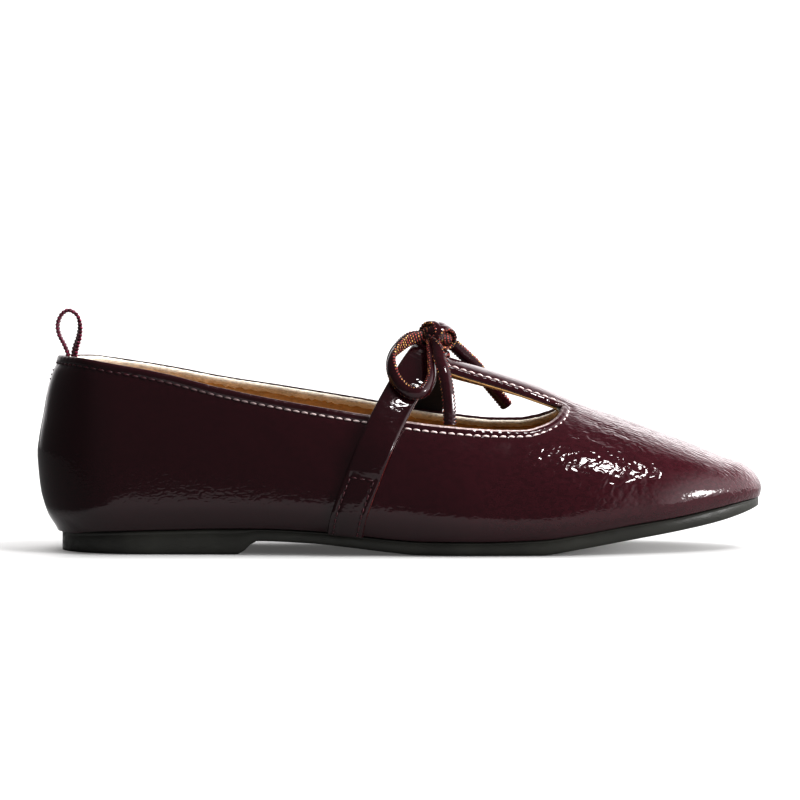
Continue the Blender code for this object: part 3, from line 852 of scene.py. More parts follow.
def drift_group():
    """Broad uneven patches, for tone and for handling marks in a gloss."""
    nodes, given, out = new_group("Broad drift", (("Size", 30.0 * MM),), ("Tone", "Marks"))
    place = scaled_place(nodes, given["Size"])
    broad = nodes.add("ShaderNodeTexNoise", {"Vector": place, "Scale": 1.0, "Detail": 2.0})
    fine = nodes.add("ShaderNodeTexNoise", {"Vector": place, "Scale": 9.0, "Detail": 3.0})
    nodes.join(nodes.spread(broad.outputs["Fac"], 0.3, 0.7), out.inputs["Tone"])
    nodes.join(nodes.spread(fine.outputs["Fac"], 0.35, 0.75), out.inputs["Marks"])
    return nodes.tree


def shared_group(name, make):
    return bpy.data.node_groups.get(name) or make()


def shaded(name, roughness, specular=0.5):
    """New material with its shader's plain values set."""
    material = bpy.data.materials.new(name)
    material.use_nodes = True
    shader = material.node_tree.nodes["Principled BSDF"]
    shader.inputs["Roughness"].default_value = roughness
    shader.inputs["Specular IOR Level"].default_value = specular
    return material, Nodes(material.node_tree), shader.inputs


def bump(nodes, shader, height, distance):
    made = nodes.add("ShaderNodeBump", {"Height": height, "Distance": distance, "Strength": 1.0})
    nodes.join(made.outputs["Normal"], shader["Normal"])


def shade(colour, share):
    return tuple(part * share for part in colour)


def in_metres(spot):
    return tuple(part * MM for part in spot)


def patent_material(finish, name="patent_lacquer", share=1.0):
    """Crinkled patent in a share of its colour, painted brighter towards the toe and darker towards the heel
    as painted light and shade, and darker in the grain's hollows as painted shade.
    """
    found = bpy.data.materials.get(name)
    if found:
        return found
    material, nodes, shader = shaded(name, finish.patent_gloss)
    crinkle = shared_group("Crinkle grain", crinkle_group)
    grain = use_group(nodes, crinkle, {"Size": finish.grain})
    streaks, ripples = (
        use_group(nodes, crinkle, {"Size": wrinkle.size * finish.grain, "Stretch": wrinkle.stretch,
                                   "Turn": math.radians(wrinkle.turn), "Cells": wrinkle.cells})
        for wrinkle in (STREAKS, RIPPLES))
    drift = use_group(nodes, shared_group("Broad drift", drift_group), {"Size": 45.0 * MM})
    place = nodes.place()
    axes = nodes.axes(place)
    # Painted light and shade: the colour eases from darker at the heel to brighter at the toe, as if the lamps
    # fell more fully on the toe.
    length = nodes.add("ShaderNodeMapRange", {"Value": axes["X"], "From Min": BACK_X * MM,
                                              "From Max": TOE_X * MM})
    forward = nodes.math("POWER", length.outputs["Result"], 2.0)
    heel, toe = (shade(finish.patent, tone * share) for tone in (HEEL_PAINTED_SHADE, TOE_PAINTED_LIGHT))
    painted_light_along_shoe = nodes.mix(forward, heel, toe)
    tone = nodes.mix(nodes.math("MULTIPLY", drift["Tone"], 0.25), painted_light_along_shoe, shade(finish.patent, 0.75))
    # Painted shade: darker colour in the grain's hollows.
    colour = nodes.mix(nodes.math("MULTIPLY", grain["Pits"], 0.28), tone, shade(finish.patent, 0.4))
    nodes.join(colour, shader["Base Color"])
    gloss = nodes.spread(drift["Marks"], 0.0, 1.0, finish.patent_gloss * 0.8, finish.patent_gloss * 1.5)
    nodes.join(gloss, shader["Roughness"])
    offset = nodes.vector("SUBTRACT", place, in_metres(FLEX_CENTRE))
    away = nodes.vector("DIVIDE", offset, in_metres(FLEX_REACH))
    gap = nodes.add("ShaderNodeVectorMath", {0: away}, operation="LENGTH").outputs["Value"]
    flexed = nodes.spread(gap, 1.3, 0.75, 0.0, FLEX_OPEN)
    on_top = nodes.math("MULTIPLY", nodes.spread(axes["X"], RIPPLE_FROM_X * MM, RIPPLE_TO_X * MM),
                        nodes.spread(nodes.math("ABSOLUTE", axes["Y"]), RIPPLE_EDGE * MM, RIPPLE_FULL * MM,
                                     0.0, RIPPLE_OPEN))
    height = nodes.math("MULTIPLY", grain["Height"], finish.quiet_grain)
    for relief, opened in ((streaks["Height"], flexed), (ripples["Height"], on_top)):
        height = nodes.math("ADD", height, nodes.math("MULTIPLY", relief, opened))
    bump(nodes, shader, height, finish.grain_depth)
    return material


def painted_highlight_share(nodes, start):
    """Share of painted highlight along the shoe, from none at a station to full short of the throat."""
    place = nodes.place()
    station = nodes.axes(place)["X"]
    return nodes.spread(station, start * MM, HIGHLIGHT_FULL_X * MM)


def fold_material(finish):
    """Patent along the topline's fold with a pale painted highlight along the front of the collar, weaker at
    the throat.
    """
    material, nodes, shader = shaded("patent_fold", 0.2)
    drift = use_group(nodes, shared_group("Broad drift", drift_group), {"Size": 9.0 * MM})
    place = nodes.place()
    station = nodes.axes(place)["X"]
    collar = nodes.math("MULTIPLY", painted_highlight_share(nodes, FOLD_HIGHLIGHT_X),
                        nodes.spread(station, THROAT_X * MM, FOLD_HIGHLIGHT_FADE_X * MM, 0.15, 1.0))
    # Painted highlight on the fold, broken up by the drift's marks.
    worn_strap_or_fold_highlight = nodes.math("MULTIPLY", collar, nodes.spread(drift["Marks"], 0.0, 1.0, 0.5, 1.0))
    nodes.join(nodes.mix(worn_strap_or_fold_highlight, finish.patent, finish.painted_highlight), shader["Base Color"])
    nodes.join(nodes.spread(drift["Tone"], 0.0, 1.0, 0.12, 0.3), shader["Roughness"])
    return material


def edge_paint_material(finish):
    """Painted cut edge of the strap, with a pale painted highlight over a stretch below the bow."""
    found = bpy.data.materials.get("strap_edge_paint")
    if found:
        return found
    material, nodes, shader = shaded("strap_edge_paint", 0.42)
    nap = use_group(nodes, shared_group("Fibre nap", fibre_group), {"Size": 0.5 * MM})
    paint = nodes.mix(nap["Mottle"], shade(finish.ribbon_thread, 0.3), shade(finish.ribbon_thread, 0.8))
    place = nodes.place()
    height = nodes.axes(place)["Z"]
    # Painted highlight: the edge paint turns pale over this stretch of height.
    rising, falling = (nodes.spread(height, start * MM, full * MM) for start, full in STRAP_EDGE_HIGHLIGHT)
    painted_highlight = nodes.math("MULTIPLY", rising, falling)
    nodes.join(nodes.mix(painted_highlight, paint, finish.painted_highlight), shader["Base Color"])
    bump(nodes, shader, nap["Nap"], 0.1 * MM)
    return material


def cloth_material(name, colour, size, depth, contrast):
    """Brushed cloth with a nap of the given size."""
    found = bpy.data.materials.get(name)
    if found:
        return found
    material, nodes, shader = shaded(name, 0.9, 0.25)
    nap = use_group(nodes, shared_group("Fibre nap", fibre_group), {"Size": size})
    mottled = nodes.mix(nap["Mottle"], shade(colour, 1.0 - contrast), shade(colour, 1.0 + contrast))
    nodes.join(mottled, shader["Base Color"])
    shader["Sheen Weight"].default_value = 0.25
    shader["Sheen Roughness"].default_value = 0.5
    bump(nodes, shader, nap["Nap"], depth)
    return material


def twill_material(name, ground, thread, glint, pitch, slant):
    """Woven strip: light slanting ribs on a dark ground, with painted highlights, glints, along some threads.
    """
    found = bpy.data.materials.get(name)
    if found:
        return found
    material, nodes, shader = shaded(name, 0.5)
    weave = use_group(nodes, shared_group("Twill ribs", twill_group), {"Pitch": pitch, "Slant": slant})
    ribs = nodes.mix(weave["Ribs"], ground, thread)
    nodes.join(nodes.mix(weave["Glints"], ribs, glint), shader["Base Color"])
    nodes.join(nodes.spread(weave["Glints"], 0.0, 1.0, 0.55, 0.28), shader["Roughness"])
    bump(nodes, shader, weave["Ribs"], 0.25 * MM)
    return material


def rubber_material(finish):
    """Moulded rubber, uneven in tone and gloss."""
    material, nodes, shader = shaded("sole_rubber", 0.5, 0.4)
    drift = use_group(nodes, shared_group("Broad drift", drift_group), {"Size": 18.0 * MM})
    nap = use_group(nodes, shared_group("Fibre nap", fibre_group), {"Size": 0.9 * MM})
    tone = nodes.mix(drift["Tone"], shade(finish.rubber, 0.85), shade(finish.rubber, 1.3))
    nodes.join(tone, shader["Base Color"])
    nodes.join(nodes.spread(drift["Marks"], 0.0, 1.0, 0.32, 0.5), shader["Roughness"])
    bump(nodes, shader, nap["Nap"], 0.08 * MM)
    return material


def thread_material(name, finish, painted_highlight):
    """Sewing thread in the patent's colour, with a pale painted highlight towards the throat when asked for.
    """
    found = bpy.data.materials.get(name)
    if found:
        return found
    material, nodes, shader = shaded(name, 0.35)
    nap = use_group(nodes, shared_group("Fibre nap", fibre_group), {"Size": 0.3 * MM})
    thread = nodes.mix(nap["Mottle"], shade(finish.patent, 0.8), shade(finish.patent, 2.4))
    # Painted highlight: the thread turns pale towards the throat.
    if painted_highlight:
        thread = nodes.mix(painted_highlight_share(nodes, THREAD_HIGHLIGHT_X), thread, finish.painted_highlight)
    nodes.join(thread, shader["Base Color"])
    bump(nodes, shader, nap["Nap"], 0.06 * MM)
    return material


def ribbon_materials(finish):
    """Patent face and twill back of the bow's ribbon."""
    back = twill_material("ribbon_twill", finish.ribbon, finish.ribbon_thread, finish.ribbon_glint,
                          RIBBON_RIB * MM, 0.35)
    return [patent_material(finish), back]


# Mesh helpers

def add_piece(name, mesh, materials, stands_for=(), sharp=None):
    """Links a mesh made in millimetres as a smooth piece that rides on the shoe's body."""
    bmesh.ops.translate(mesh, verts=mesh.verts, vec=CENTRE_SHIFT)
    bmesh.ops.scale(mesh, verts=mesh.verts, vec=(MM, MM, MM))
    data = bpy.data.meshes.new(name)
    mesh.to_mesh(data)
    mesh.free()
    data.shade_smooth()
    if sharp is not None:
        data.set_sharp_from_angle(angle=math.radians(sharp))
    for material in materials:
        data.materials.append(material)
    piece = bpy.data.objects.new(name, data)
    bpy.context.scene.collection.objects.link(piece)
    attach(piece, BODY)
    if stands_for:
        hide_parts(*stands_for)
    return piece


def face(mesh, corners):
    """Adds a face, leaving out corners that fall together at an end."""
    kept = [corner for i, corner in enumerate(corners) if corner is not corners[i - 1]]
    if len(set(kept)) >= 3:
        mesh.faces.new(kept)


def sweep(mesh, rings, finishes, closed=False):
    """Skins rings of points, one material to each stretch of the outline, and maps the strip in metres."""
    flow = mesh.loops.layers.uv.get(STRIP_MAP) or mesh.loops.layers.uv.new(STRIP_MAP)
    count = len(rings[0])
    middles = [sum(ring, Vector()) / count for ring in rings]
    along = arc_lengths(middles)
    around = arc_lengths(rings[len(rings) // 2] + rings[len(rings) // 2][:1])
    verts = [[mesh.verts.new(point) for point in ring] for ring in rings]
    spans = list(range(len(rings) - 1)) + ([len(rings) - 1] if closed else [])
    for i in spans:
        ahead = (i + 1) % len(rings)
        run = along[ahead] if ahead else along[-1] + (middles[0] - middles[-1]).length
        for k in range(count):
            n = (k + 1) % count
            made = mesh.faces.new([verts[i][k], verts[ahead][k], verts[ahead][n], verts[i][n]])
            made.material_index = finishes[k]
            near, far = around[k], around[k + 1]
            spots = ((along[i], near), (run, near), (run, far), (along[i], far))
            for loop, spot in zip(made.loops, spots):
                loop[flow].uv = (spot[0] * MM, spot[1] * MM)
    if not closed:
        ends = [mesh.faces.new(verts[0]), mesh.faces.new(list(reversed(verts[-1])))]
        for end in ends:
            end.material_index = finishes[-1]


def place_ring(frame, outline):
    return [frame.point + frame.across * u + frame.out * v for u, v in outline]


def boundary_loops(mesh):
    """Closed rows of vertices along the open edges, lowest first."""
    ahead = {}
    for edge in mesh.edges:
        if edge.is_boundary:
            corner = edge.link_loops[0]
            ahead[corner.vert] = corner.link_loop_next.vert
    rows = []
    while ahead:
        vert, following = ahead.popitem()
        row = [vert]
        while following is not row[0]:
            row.append(following)
            following = ahead.pop(following)
        rows.append(row)
    return sorted(rows, key=lambda row: max(vert.co.z for vert in row))


DOWN = Vector((0.0, 0.0, -1.0))


def roll_edge(mesh, row, profile, level=False):
    """Carries an open edge on, in steps past it and inward through the skin, or down and level inward."""
    count = len(row)
    mesh.normal_update()
    frames = []
    for i, vert in enumerate(row):
        along = (row[(i + 1) % count].co - row[i - 1].co).normalized()
        normal = sum((row[(i + k) % count].normal for k in range(-3, 4)), Vector()).normalized()
        past = along.cross(normal).normalized()
        if level:
            past = DOWN
            normal = Vector((normal.x, normal.y, 0.0)).normalized()
        frames.append((vert.co.copy(), past, normal))
    rows = [row]
    for ahead, inward in profile:
        rows.append([mesh.verts.new(spot + past * ahead - out * inward) for spot, past, out in frames])
    for near, far in zip(rows, rows[1:]):
        for i in range(count):
            n = (i + 1) % count
            face(mesh, [near[n], near[i], far[i], far[n]])
    return rows


def fold_profile(radius, tail):
    """Half turn over a folded edge, then a flat turned-in margin."""
    turns = [math.pi * i / 10 for i in range(1, 11)]
    turn = [(1.5 * radius * math.sin(angle), radius * (1.0 - math.cos(angle))) for angle in turns]
    return turn + [(-tail * i / 3, 2.0 * radius) for i in range(1, 4)]


def upper_net(opening, density):
    """Net of the upper's outside, open at the collar, the cut-outs and underneath."""
    mesh = bmesh.new()
    places = opening.stations(density)
    bar_first = density.rear
    throat = density.rear + density.bar
    last = len(places) - 1
    wall, top = {}, {}
    for i, station in enumerate(places):
        for side in SIDES:
            if side == 1 and i in (0, last):
                wall[i, side] = wall[i, -1]
                continue
            seam = opening.seam_lift(station, side)
            lifts = [-1.0 + row / density.low for row in range(density.low)]
            lifts += [seam * (1.0 - (1.0 - row / density.wall) ** 1.7) for row in range(density.wall + 1)]
            wall[i, side] = [mesh.verts.new(skin(station, side, lift)) for lift in lifts]
    for i in range(bar_first, last + 1):
        station = places[i]
        ridge = mesh.verts.new(skin(station, -1, 1.0))
        for side in SIDES:
            if side == 1 and i == last:
                top[i, side] = top[i, -1]
                continue
            edge = opening.bar_edge_lift(station, side) if i < throat else opening.seam_lift(station, side)
            rise = [edge + (1.0 - edge) * (row / density.top) ** 1.35 for row in range(density.top)]
            inner = [mesh.verts.new(skin(station, side, lift)) for lift in rise[1:]]
            first = mesh.verts.new(skin(station, side, edge)) if i < throat else wall[i, side][-1]
            top[i, side] = [first] + inner + [ridge]
    for side in SIDES:
        for columns, first in ((wall, 0), (top, bar_first)):
            for i in range(first, last):
                here, ahead = columns[i, side], columns[i + 1, side]
                for low in range(len(here) - 1):
                    corners = [here[low], ahead[low], ahead[low + 1], here[low + 1]]
                    face(mesh, corners if side == -1 else list(reversed(corners)))
    mesh.normal_update()
    return mesh


SeamPoint = namedtuple("SeamPoint", "point past normal arc bar")


def seam_line(opening, step):
    """Even points around the opening's edge, each with the way past the edge and the skin's normal."""
    places = opening.path()
    points = [skin(*place) for place in places]
    kept = [0]
    for i in range(1, len(points)):
        if (points[i] - points[kept[-1]]).length > 0.05:
            kept.append(i)
    points = [points[i] for i in kept]
    normals = [outward(*places[i]) for i in kept]
    stations = [places[i][0] for i in kept]
    on_bar = [opening.collar_lift(*places[i][:2]) < places[i][2] - 0.02 for i in kept]
    lengths = arc_lengths(points + points[:1])
    total = lengths[-1]
    count = int(round(total / step))
    line = []
    for k in range(count):
        goal = total * k / count
        i = bisect_right(lengths, goal) - 1
        n = (i + 1) % len(points)
        f = (goal - lengths[i]) / (lengths[i + 1] - lengths[i])
        normal = normals[i].lerp(normals[n], f).normalized()
        along = (points[n] - points[i]).normalized()
        bar = on_bar[i] * ease((opening.throat - stations[i]) / 8.0)
        past = normal.cross(along).normalized()
        line.append(SeamPoint(points[i].lerp(points[n], f), past, normal, goal, bar))
    return line, total


def even_pitch(total, pitch):
    return total / round(total / pitch)


def point_tree(points):
    """Search tree for the nearest of some points."""
    tree = KDTree(len(points))
    for i, point in enumerate(points):
        tree.insert(point, i)
    tree.balance()
    return tree


def sew_margin(mesh, sizes):
    """Swells the folded margin along the opening and pinches it at its row of stitches."""
    inset = sizes.stitch_inset / MM
    line, total = seam_line(Opening(UPPER_MARGIN), 0.3)
    pitch = even_pitch(total, sizes.stitch_pitch / MM)
    tree = point_tree([spot.point for spot in line])
    moves = []
    for vert in mesh.verts:
        _, index, gap = tree.find(vert.co)
        if gap > 3.0 * inset:
            continue
        phase = (line[index].arc / pitch) % 1.0
        pucker = min(phase / 0.75, (1.0 - phase) / 0.25)
        uneven = 1.0 + 0.5 * noise.noise(vert.co * 0.6)
        below = gap - inset
        swell = SEWN_MARGIN.swell * (1.0 - ease((below + 0.8) / 0.8))
        slope = bell(below, 0.4) if below < 0.0 else 1.0 - ease(below / 3.0)
        groove = SEWN_MARGIN.groove * uneven * slope
        lip = SEWN_MARGIN.lip * uneven * pucker * bell(below - 1.1, 0.95)
        rim = SEWN_MARGIN.rim * uneven * pucker * bell(gap, 0.8)
        turned = SEWN_MARGIN.turned * line[index].bar * max(0.0, 1.0 - gap / (inset + 0.2)) ** 1.6
        moves.append((vert, vert.normal * (swell - groove + lip + rim - turned)))
    for vert, move in moves:
        vert.co += move


def press_creases(mesh, creases):
    """Presses the main creases into the net, each with a low ridge beside its trough."""
    samples = []
    for crease in creases:
        steps = 40
        for i in range(steps + 1):
            f = i / steps
            station = crease.start_x + (crease.end_x - crease.start_x) * f
            lift = crease.start_lift + (crease.end_lift - crease.start_lift) * f
            wander = 1.2 * noise.noise(Vector((station * 0.12, lift * 9.0, crease.depth * 50.0)))
            samples.append((skin(station + wander, crease.side, lift), crease, math.sin(math.pi * f) ** 0.8))
    tree = point_tree([sample[0] for sample in samples])
    moves = []
    for vert in mesh.verts:
        _, index, gap = tree.find(vert.co)
        _, crease, fade = samples[index]
        if gap < 4.0 * crease.width:
            trough = bell(gap, crease.width) - 0.4 * bell(gap - 1.9 * crease.width, 0.8 * crease.width)
            moves.append((vert, vert.normal * (-crease.depth * fade * trough)))
    for vert, move in moves:
        vert.co += move


def swell_vamp(mesh):
    """Soft fullness on both sides of the vamp, in front of the throat."""
    centres = [skin(VAMP_SWELL.station, side, VAMP_SWELL.lift) for side in SIDES]
    for vert in mesh.verts:
        for centre in centres:
            gap = vert.co - centre
            if gap.length < 3.0 * VAMP_SWELL.long:
                share = bell(gap.x, VAMP_SWELL.long) * bell(math.hypot(gap.y, gap.z), VAMP_SWELL.tall)
                vert.co += vert.normal * (VAMP_SWELL.rise * share)


def press_back_seam(mesh):
    """Closed seam down the middle of the heel: a narrow trough between two low ridges."""
    spine = spine_at(BACK_X)
    for vert in mesh.verts:
        if vert.co.x < BACK_X + HEEL_ROUND * 0.4:
            gap = abs(vert.co.y - spine)
            rise = sum(form.amount * bell(gap - form.gap, form.width) for form in BACK_SEAM)
            vert.co += vert.normal * rise


def add_stitch(mesh, start, end, normal, radius):
    """One stitch: a short rounded thread that dives into the surface at both ends."""
    along = (end - start).normalized()
    across = normal.cross(along).normalized()
    rings = []
    for i in range(7):
        f = i / 6
        hump = math.sin(math.pi * f) ** 0.6
        thick = radius * (0.55 + 0.45 * hump)
        middle = start.lerp(end, f) + normal * (radius * (1.05 * hump - 0.75))
        ring = []
        for k in range(8):
            turn = 2.0 * math.pi * k / 8
            ring.append(middle + across * (thick * math.cos(turn)) + normal * (thick * math.sin(turn)))
        rings.append(ring)
    sweep(mesh, rings, [0] * 8)


def sew_row(mesh, line, pitch, radius):
    """Stitches along a line of points and normals, with a needle's gap between them."""
    points = [point for point, _ in line]
    lengths = arc_lengths(points)

    def at(goal):
        i = clamp(bisect_right(lengths, goal) - 1, 0, len(points) - 2)
        f = (goal - lengths[i]) / max(lengths[i + 1] - lengths[i], 1e-9)
        return points[i].lerp(points[i + 1], f), line[i][1].lerp(line[i + 1][1], f).normalized()

    count = max(1, int(round(lengths[-1] / pitch)))
    step = lengths[-1] / count
    for k in range(count):
        start, normal = at(step * (k + 0.10))
        end, _ = at(step * (k + 0.90))
        add_stitch(mesh, start, end, normal, radius)


def plain_surface():
    """Search tree over the upper's plain outside, up to its edge line."""
    net = upper_net(Opening(0.0), PLAIN)
    surface = BVHTree.FromBMesh(net)
    net.free()
    return surface


# Pieces

def build_upper(sizes, finish):
    """Patent upper with its folded topline, sewn margin, creases and turned-in lasting edge."""
    mesh = upper_net(Opening(UPPER_MARGIN), FINE)
    swell_vamp(mesh)
    mesh.normal_update()
    press_creases(mesh, CREASES)
    mesh.normal_update()
    press_back_seam(mesh)
    mesh.normal_update()
    sew_margin(mesh, sizes)
    rows = boundary_loops(mesh)
    under, topline = rows[0], rows[-1]
    rows = roll_edge(mesh, topline, fold_profile(sizes.fold / MM, 3.0))
    # The fold's first rows take the painted highlight, except under the T-bar.
    pale = {vert for row in rows[FOLD_HIGHLIGHT_ROWS] for vert in row if under_bar(vert.co) < 0.3}
    for strip in mesh.faces:
        strip.material_index = int(all(vert in pale for vert in strip.verts))
    roll_edge(mesh, under, LASTING_MARGIN, level=True)
    add_piece("patent_upper", mesh, [patent_material(finish), fold_material(finish)], ["upper"])


def build_lining(sizes, finish):
    """Brushed lining inside the upper, and its raw cut edge along the topline."""
    depth = 2.0 * sizes.fold / MM + 0.1
    thick = sizes.lining_thick / MM
    opening = Opening(sizes.lining_drop / MM)
    mesh = upper_net(opening, PLAIN)
    for vert, move in [(vert, vert.normal * -depth) for vert in mesh.verts]:
        vert.co += move
    rows = boundary_loops(mesh)
    edge = rows[-1]
    mesh.normal_update()
    rim = []
    for i, vert in enumerate(edge):
        along = (edge[(i + 1) % len(edge)].co - edge[i - 1].co).normalized()
        rim.append((vert.co.copy(), along.cross(vert.normal).normalized(), vert.normal.copy()))
    roll_edge(mesh, rows[0], LINING_SKIRT, level=True)
    cloth = cloth_material("lining_cloth", finish.lining, 0.7 * MM, 0.12 * MM, 0.22)
    raw_cloth = cloth_material("lining_raw_edge", finish.raw_edge, 0.45 * MM, 0.3 * MM, 0.25)
    piece = add_piece("upper_lining", mesh, [cloth])
    wall = piece.modifiers.new("cloth", "SOLIDIFY")
    wall.thickness = thick * MM
    wall.offset = -1.0
    # The lining's own colour darkened as painted shade, for the raw edge under the T-bar.
    under_bar_painted_shade = cloth_material("bar_lining", shade(finish.lining, 0.55), 0.7 * MM, 0.12 * MM, 0.22)
    build_raw_edge(rim, thick, [raw_cloth, under_bar_painted_shade])


def under_bar(point):
    """How far a point lies under the T-bar rather than along the collar, from 0 to 1."""
    beside = abs(point.y - spine_at(point.x)) - max(TBAR[0].lateral, TBAR[-2].medial)
    inside = ease((THROAT_X - 1.0 - point.x) / 4.0) * (point.x > TBAR_END_X - 3.0)
    return inside * (1.0 - ease((beside - 0.5) / 1.5))


# Outline of the lining's raw edge: steps past the edge, and steps out in thicknesses of the cloth
RAW_EDGE = ((-2.6, 0.10), (-1.0, 0.12), (0.0, 0.10), (0.40, -0.35), (0.48, -1.0), (0.30, -1.7),
            (-0.15, -2.2), (-0.8, -2.3), (-1.5, -1.95), (-2.1, -1.4), (-2.6, -1.08))


def build_raw_edge(rim, thick, materials):
    """Frayed cut edge of the lining along the collar, trimmed close under the T-bar, where it takes the
    lining's own colour darkened as painted shade.
    """
    rings = []
    for spot, past, normal in rim:
        ring = []
        kept = 1.0 - 0.85 * under_bar(spot)
        for ahead, out in RAW_EDGE:
            point = spot + past * ahead + normal * (out * thick * kept)
            fray = 0.16 * noise.noise(point * 1.3) + 0.10 * noise.noise(point * 3.1)
            tuft = 0.55 * noise.noise(point * 0.8) + 0.3 * noise.noise(point * 2.2)
            ring.append(point + past * (fray + (tuft if ahead < -2.0 else 0.0)) + normal * (0.6 * fray))
        rings.append(ring)
    mesh = bmesh.new()
    sweep(mesh, rings, [0] * len(RAW_EDGE), closed=True)
    bmesh.ops.recalc_face_normals(mesh, faces=mesh.faces)
    for strip in mesh.faces:
        # Faces under the T-bar get the darkened lining colour, a painted shade.
        strip.material_index = int(under_bar(strip.calc_center_median()) > 0.3)
    add_piece("lining_raw_edge", mesh, materials)


def build_topline_stitches(sizes, finish):
    """Row of stitches along the collar, the throat and the T-bar."""
    inset = sizes.stitch_inset / MM
    radius = 0.5 * sizes.thread / MM
    surface = plain_surface()
    line, total = seam_line(Opening(UPPER_MARGIN), 0.5)
    offsets = [spot.point - spot.past * inset for spot in line]
    row = []
    for i in range(len(offsets) + 1):
        nearby = [offsets[(i + k) % len(offsets)] for k in range(-4, 5)]
        point, normal, _, _ = surface.find_nearest(sum(nearby, Vector()) / len(nearby))
        row.append((point - normal * 0.15, normal))
    mesh = bmesh.new()
    sew_row(mesh, row, even_pitch(total, sizes.stitch_pitch / MM), radius)
    add_piece("topline_stitches", mesh, [thread_material("topline_thread", finish, True)])


def strap_shape(sizes):
    """Frames of the worn strap: it stands off above its sewn box and bends under the bow."""
    box_top = sizes.box_height / MM
    bulge = sizes.strap_bulge / MM
    frames = []
    for frame in fine_frames(strap_frames(), 10):
        height = frame.point.z
        stand = bulge * bell(height - box_top - 10.0, 6.5) - 0.22 * bell(height - box_top, 1.1)
        roll = STRAP_ROLL.amount * bell(height - STRAP_ROLL.height, STRAP_ROLL.reach)
        stand += 0.5 * frame.width * math.sin(roll)
        worn_strap_or_fold_highlight = Frame(frame.point + frame.out * stand, frame.across, frame.out, frame.width)
        frames.append(leaned(worn_strap_or_fold_highlight, -roll))
    return frames


def build_strap(sizes, finish):
    """Patent strap with painted cut edges, a sewn box at each foot and wrinkles under the bow."""
    frames = strap_shape(sizes)
    lengths = arc_lengths([frame.point for frame in frames])
    half = 0.5 * STRAP_THICK
    box_top = sizes.box_height / MM
    shares = (-1.0, -0.985, -0.95, -0.88, -0.79, -0.72, -0.67, -0.62, -0.55, -0.42, -0.22, 0.0,
              0.22, 0.42, 0.55, 0.62, 0.67, 0.72, 0.79, 0.88, 0.95, 0.985, 1.0)
    rings = []
    for frame, run in zip(frames, lengths):
        reach = 0.5 * frame.width
        height = frame.point.z
        sewn = 1.0 - ease((height - box_top + 0.5) / 1.5)
        wrinkled = sum(bend.amount * bell(height - bend.height, bend.reach) for bend in STRAP_WRINKLES)
        outline = []
        for share in shares:
            u = share * reach
            rounding = 0.55 * max(0.0, (abs(share) - 0.88) / 0.12) ** 2
            dome = (0.28 - 0.12 * sewn) * (1.0 - share * share)
            row = 0.26 * sewn * bell(reach - abs(u) - STRAP_INSET, 0.45)
            slant = run + 0.35 * u + 0.7 * noise.noise(Vector((run * 0.3, u * 0.25, 0.0)))
            wrinkle = 0.24 * wrinkled * math.sin(2.0 * math.pi * slant / 2.1) * (1.0 - 0.6 * abs(share))
            outline.append((u, half - rounding + dome - row + wrinkle))
        outline += [(reach, -half), (0.0, -half), (-reach, -half)]
        rings.append(place_ring(frame, outline))
    finishes = [0] * (len(shares) - 1) + [1, 2, 2, 1]
    mesh = bmesh.new()
    sweep(mesh, rings, finishes)
    bmesh.ops.recalc_face_normals(mesh, faces=mesh.faces)
    backing = cloth_material("strap_backing", shade(finish.ribbon, 0.6), 0.8 * MM, 0.1 * MM, 0.3)
    lacquer = patent_material(finish, "strap_lacquer", STRAP_TONE)
    materials = [lacquer, edge_paint_material(finish), backing]
    add_piece("patent_strap", mesh, materials, ["strap"], 40.0)
    build_strap_stitches(sizes, finish, frames)


def build_strap_stitches(sizes, finish, frames):
    """Sewn box at each foot of the strap: two side rows and a top row."""
    radius = 0.5 * sizes.thread / MM
    box_top = sizes.box_height / MM
    face_lift = 0.5 * STRAP_THICK - 0.02

    def on_face(frame, share, lift):
        """Point and normal on the strap's face, at a share of the way from its middle to a side row."""
        reach = 0.5 * frame.width - STRAP_INSET
        return frame.point + frame.across * (reach * share) + frame.out * lift, frame.out

    mesh = bmesh.new()
    middle = len(frames) // 2
    for leg in (frames[:middle], list(reversed(frames[middle:]))):
        sewn = [frame for frame in leg if frame.point.z <= box_top]
        rows = [[on_face(frame, side, face_lift) for frame in sewn] for side in (-1, 1)]
        rows.append([on_face(sewn[-1], share, face_lift + 0.1) for share in (-1, 0, 1)])
        for row in rows:
            sew_row(mesh, row, sizes.stitch_pitch / MM * 0.8, 0.85 * radius)
    add_piece("strap_stitches", mesh, [thread_material("strap_thread", finish, False)])


def ribbon_ring(frame, thick, run, patent_side):
    """Ring of a folded ribbon: domed patent face, beaded edges and a flat twill back."""
    reach = 0.5 * frame.width
    half = 0.5 * thick
    bead = 0.20 * math.sin(2.0 * math.pi * run / RIBBON_RIB)
    outline = []
    for i in range(9):
        share = -1.0 + i / 4
        outline.append((share * (reach - 0.30), half - 0.20 + 0.75 * (1.0 - share * share)))
    outline += [(reach - 0.05 + bead, 0.55 * half), (reach + bead, 0.0), (reach - 0.05 + bead, -0.6 * half)]
    outline += [(reach - 0.45, -half), (0.4 * reach, -half + 0.12), (0.0, -half + 0.16),
                (-0.4 * reach, -half + 0.12), (0.45 - reach, -half)]
    outline += [(0.05 - reach - bead, -0.6 * half), (-reach - bead, 0.0), (0.05 - reach - bead, 0.55 * half)]
    return [frame.point + frame.across * u + frame.out * (v * patent_side) for u, v in outline]


RIBBON_FINISHES = [0] * 8 + [1] * 12


def build_ribbon(name, node, frames, finish, patent_side):
    """One strip of the bow."""
    lengths = arc_lengths([frame.point for frame in frames])
    rings = [ribbon_ring(frame, RIBBON_THICK, run, patent_side) for frame, run in zip(frames, lengths)]
    mesh = bmesh.new()
    sweep(mesh, rings, RIBBON_FINISHES)
    bmesh.ops.recalc_face_normals(mesh, faces=mesh.faces)
    add_piece(name, mesh, ribbon_materials(finish), [node], 60.0)


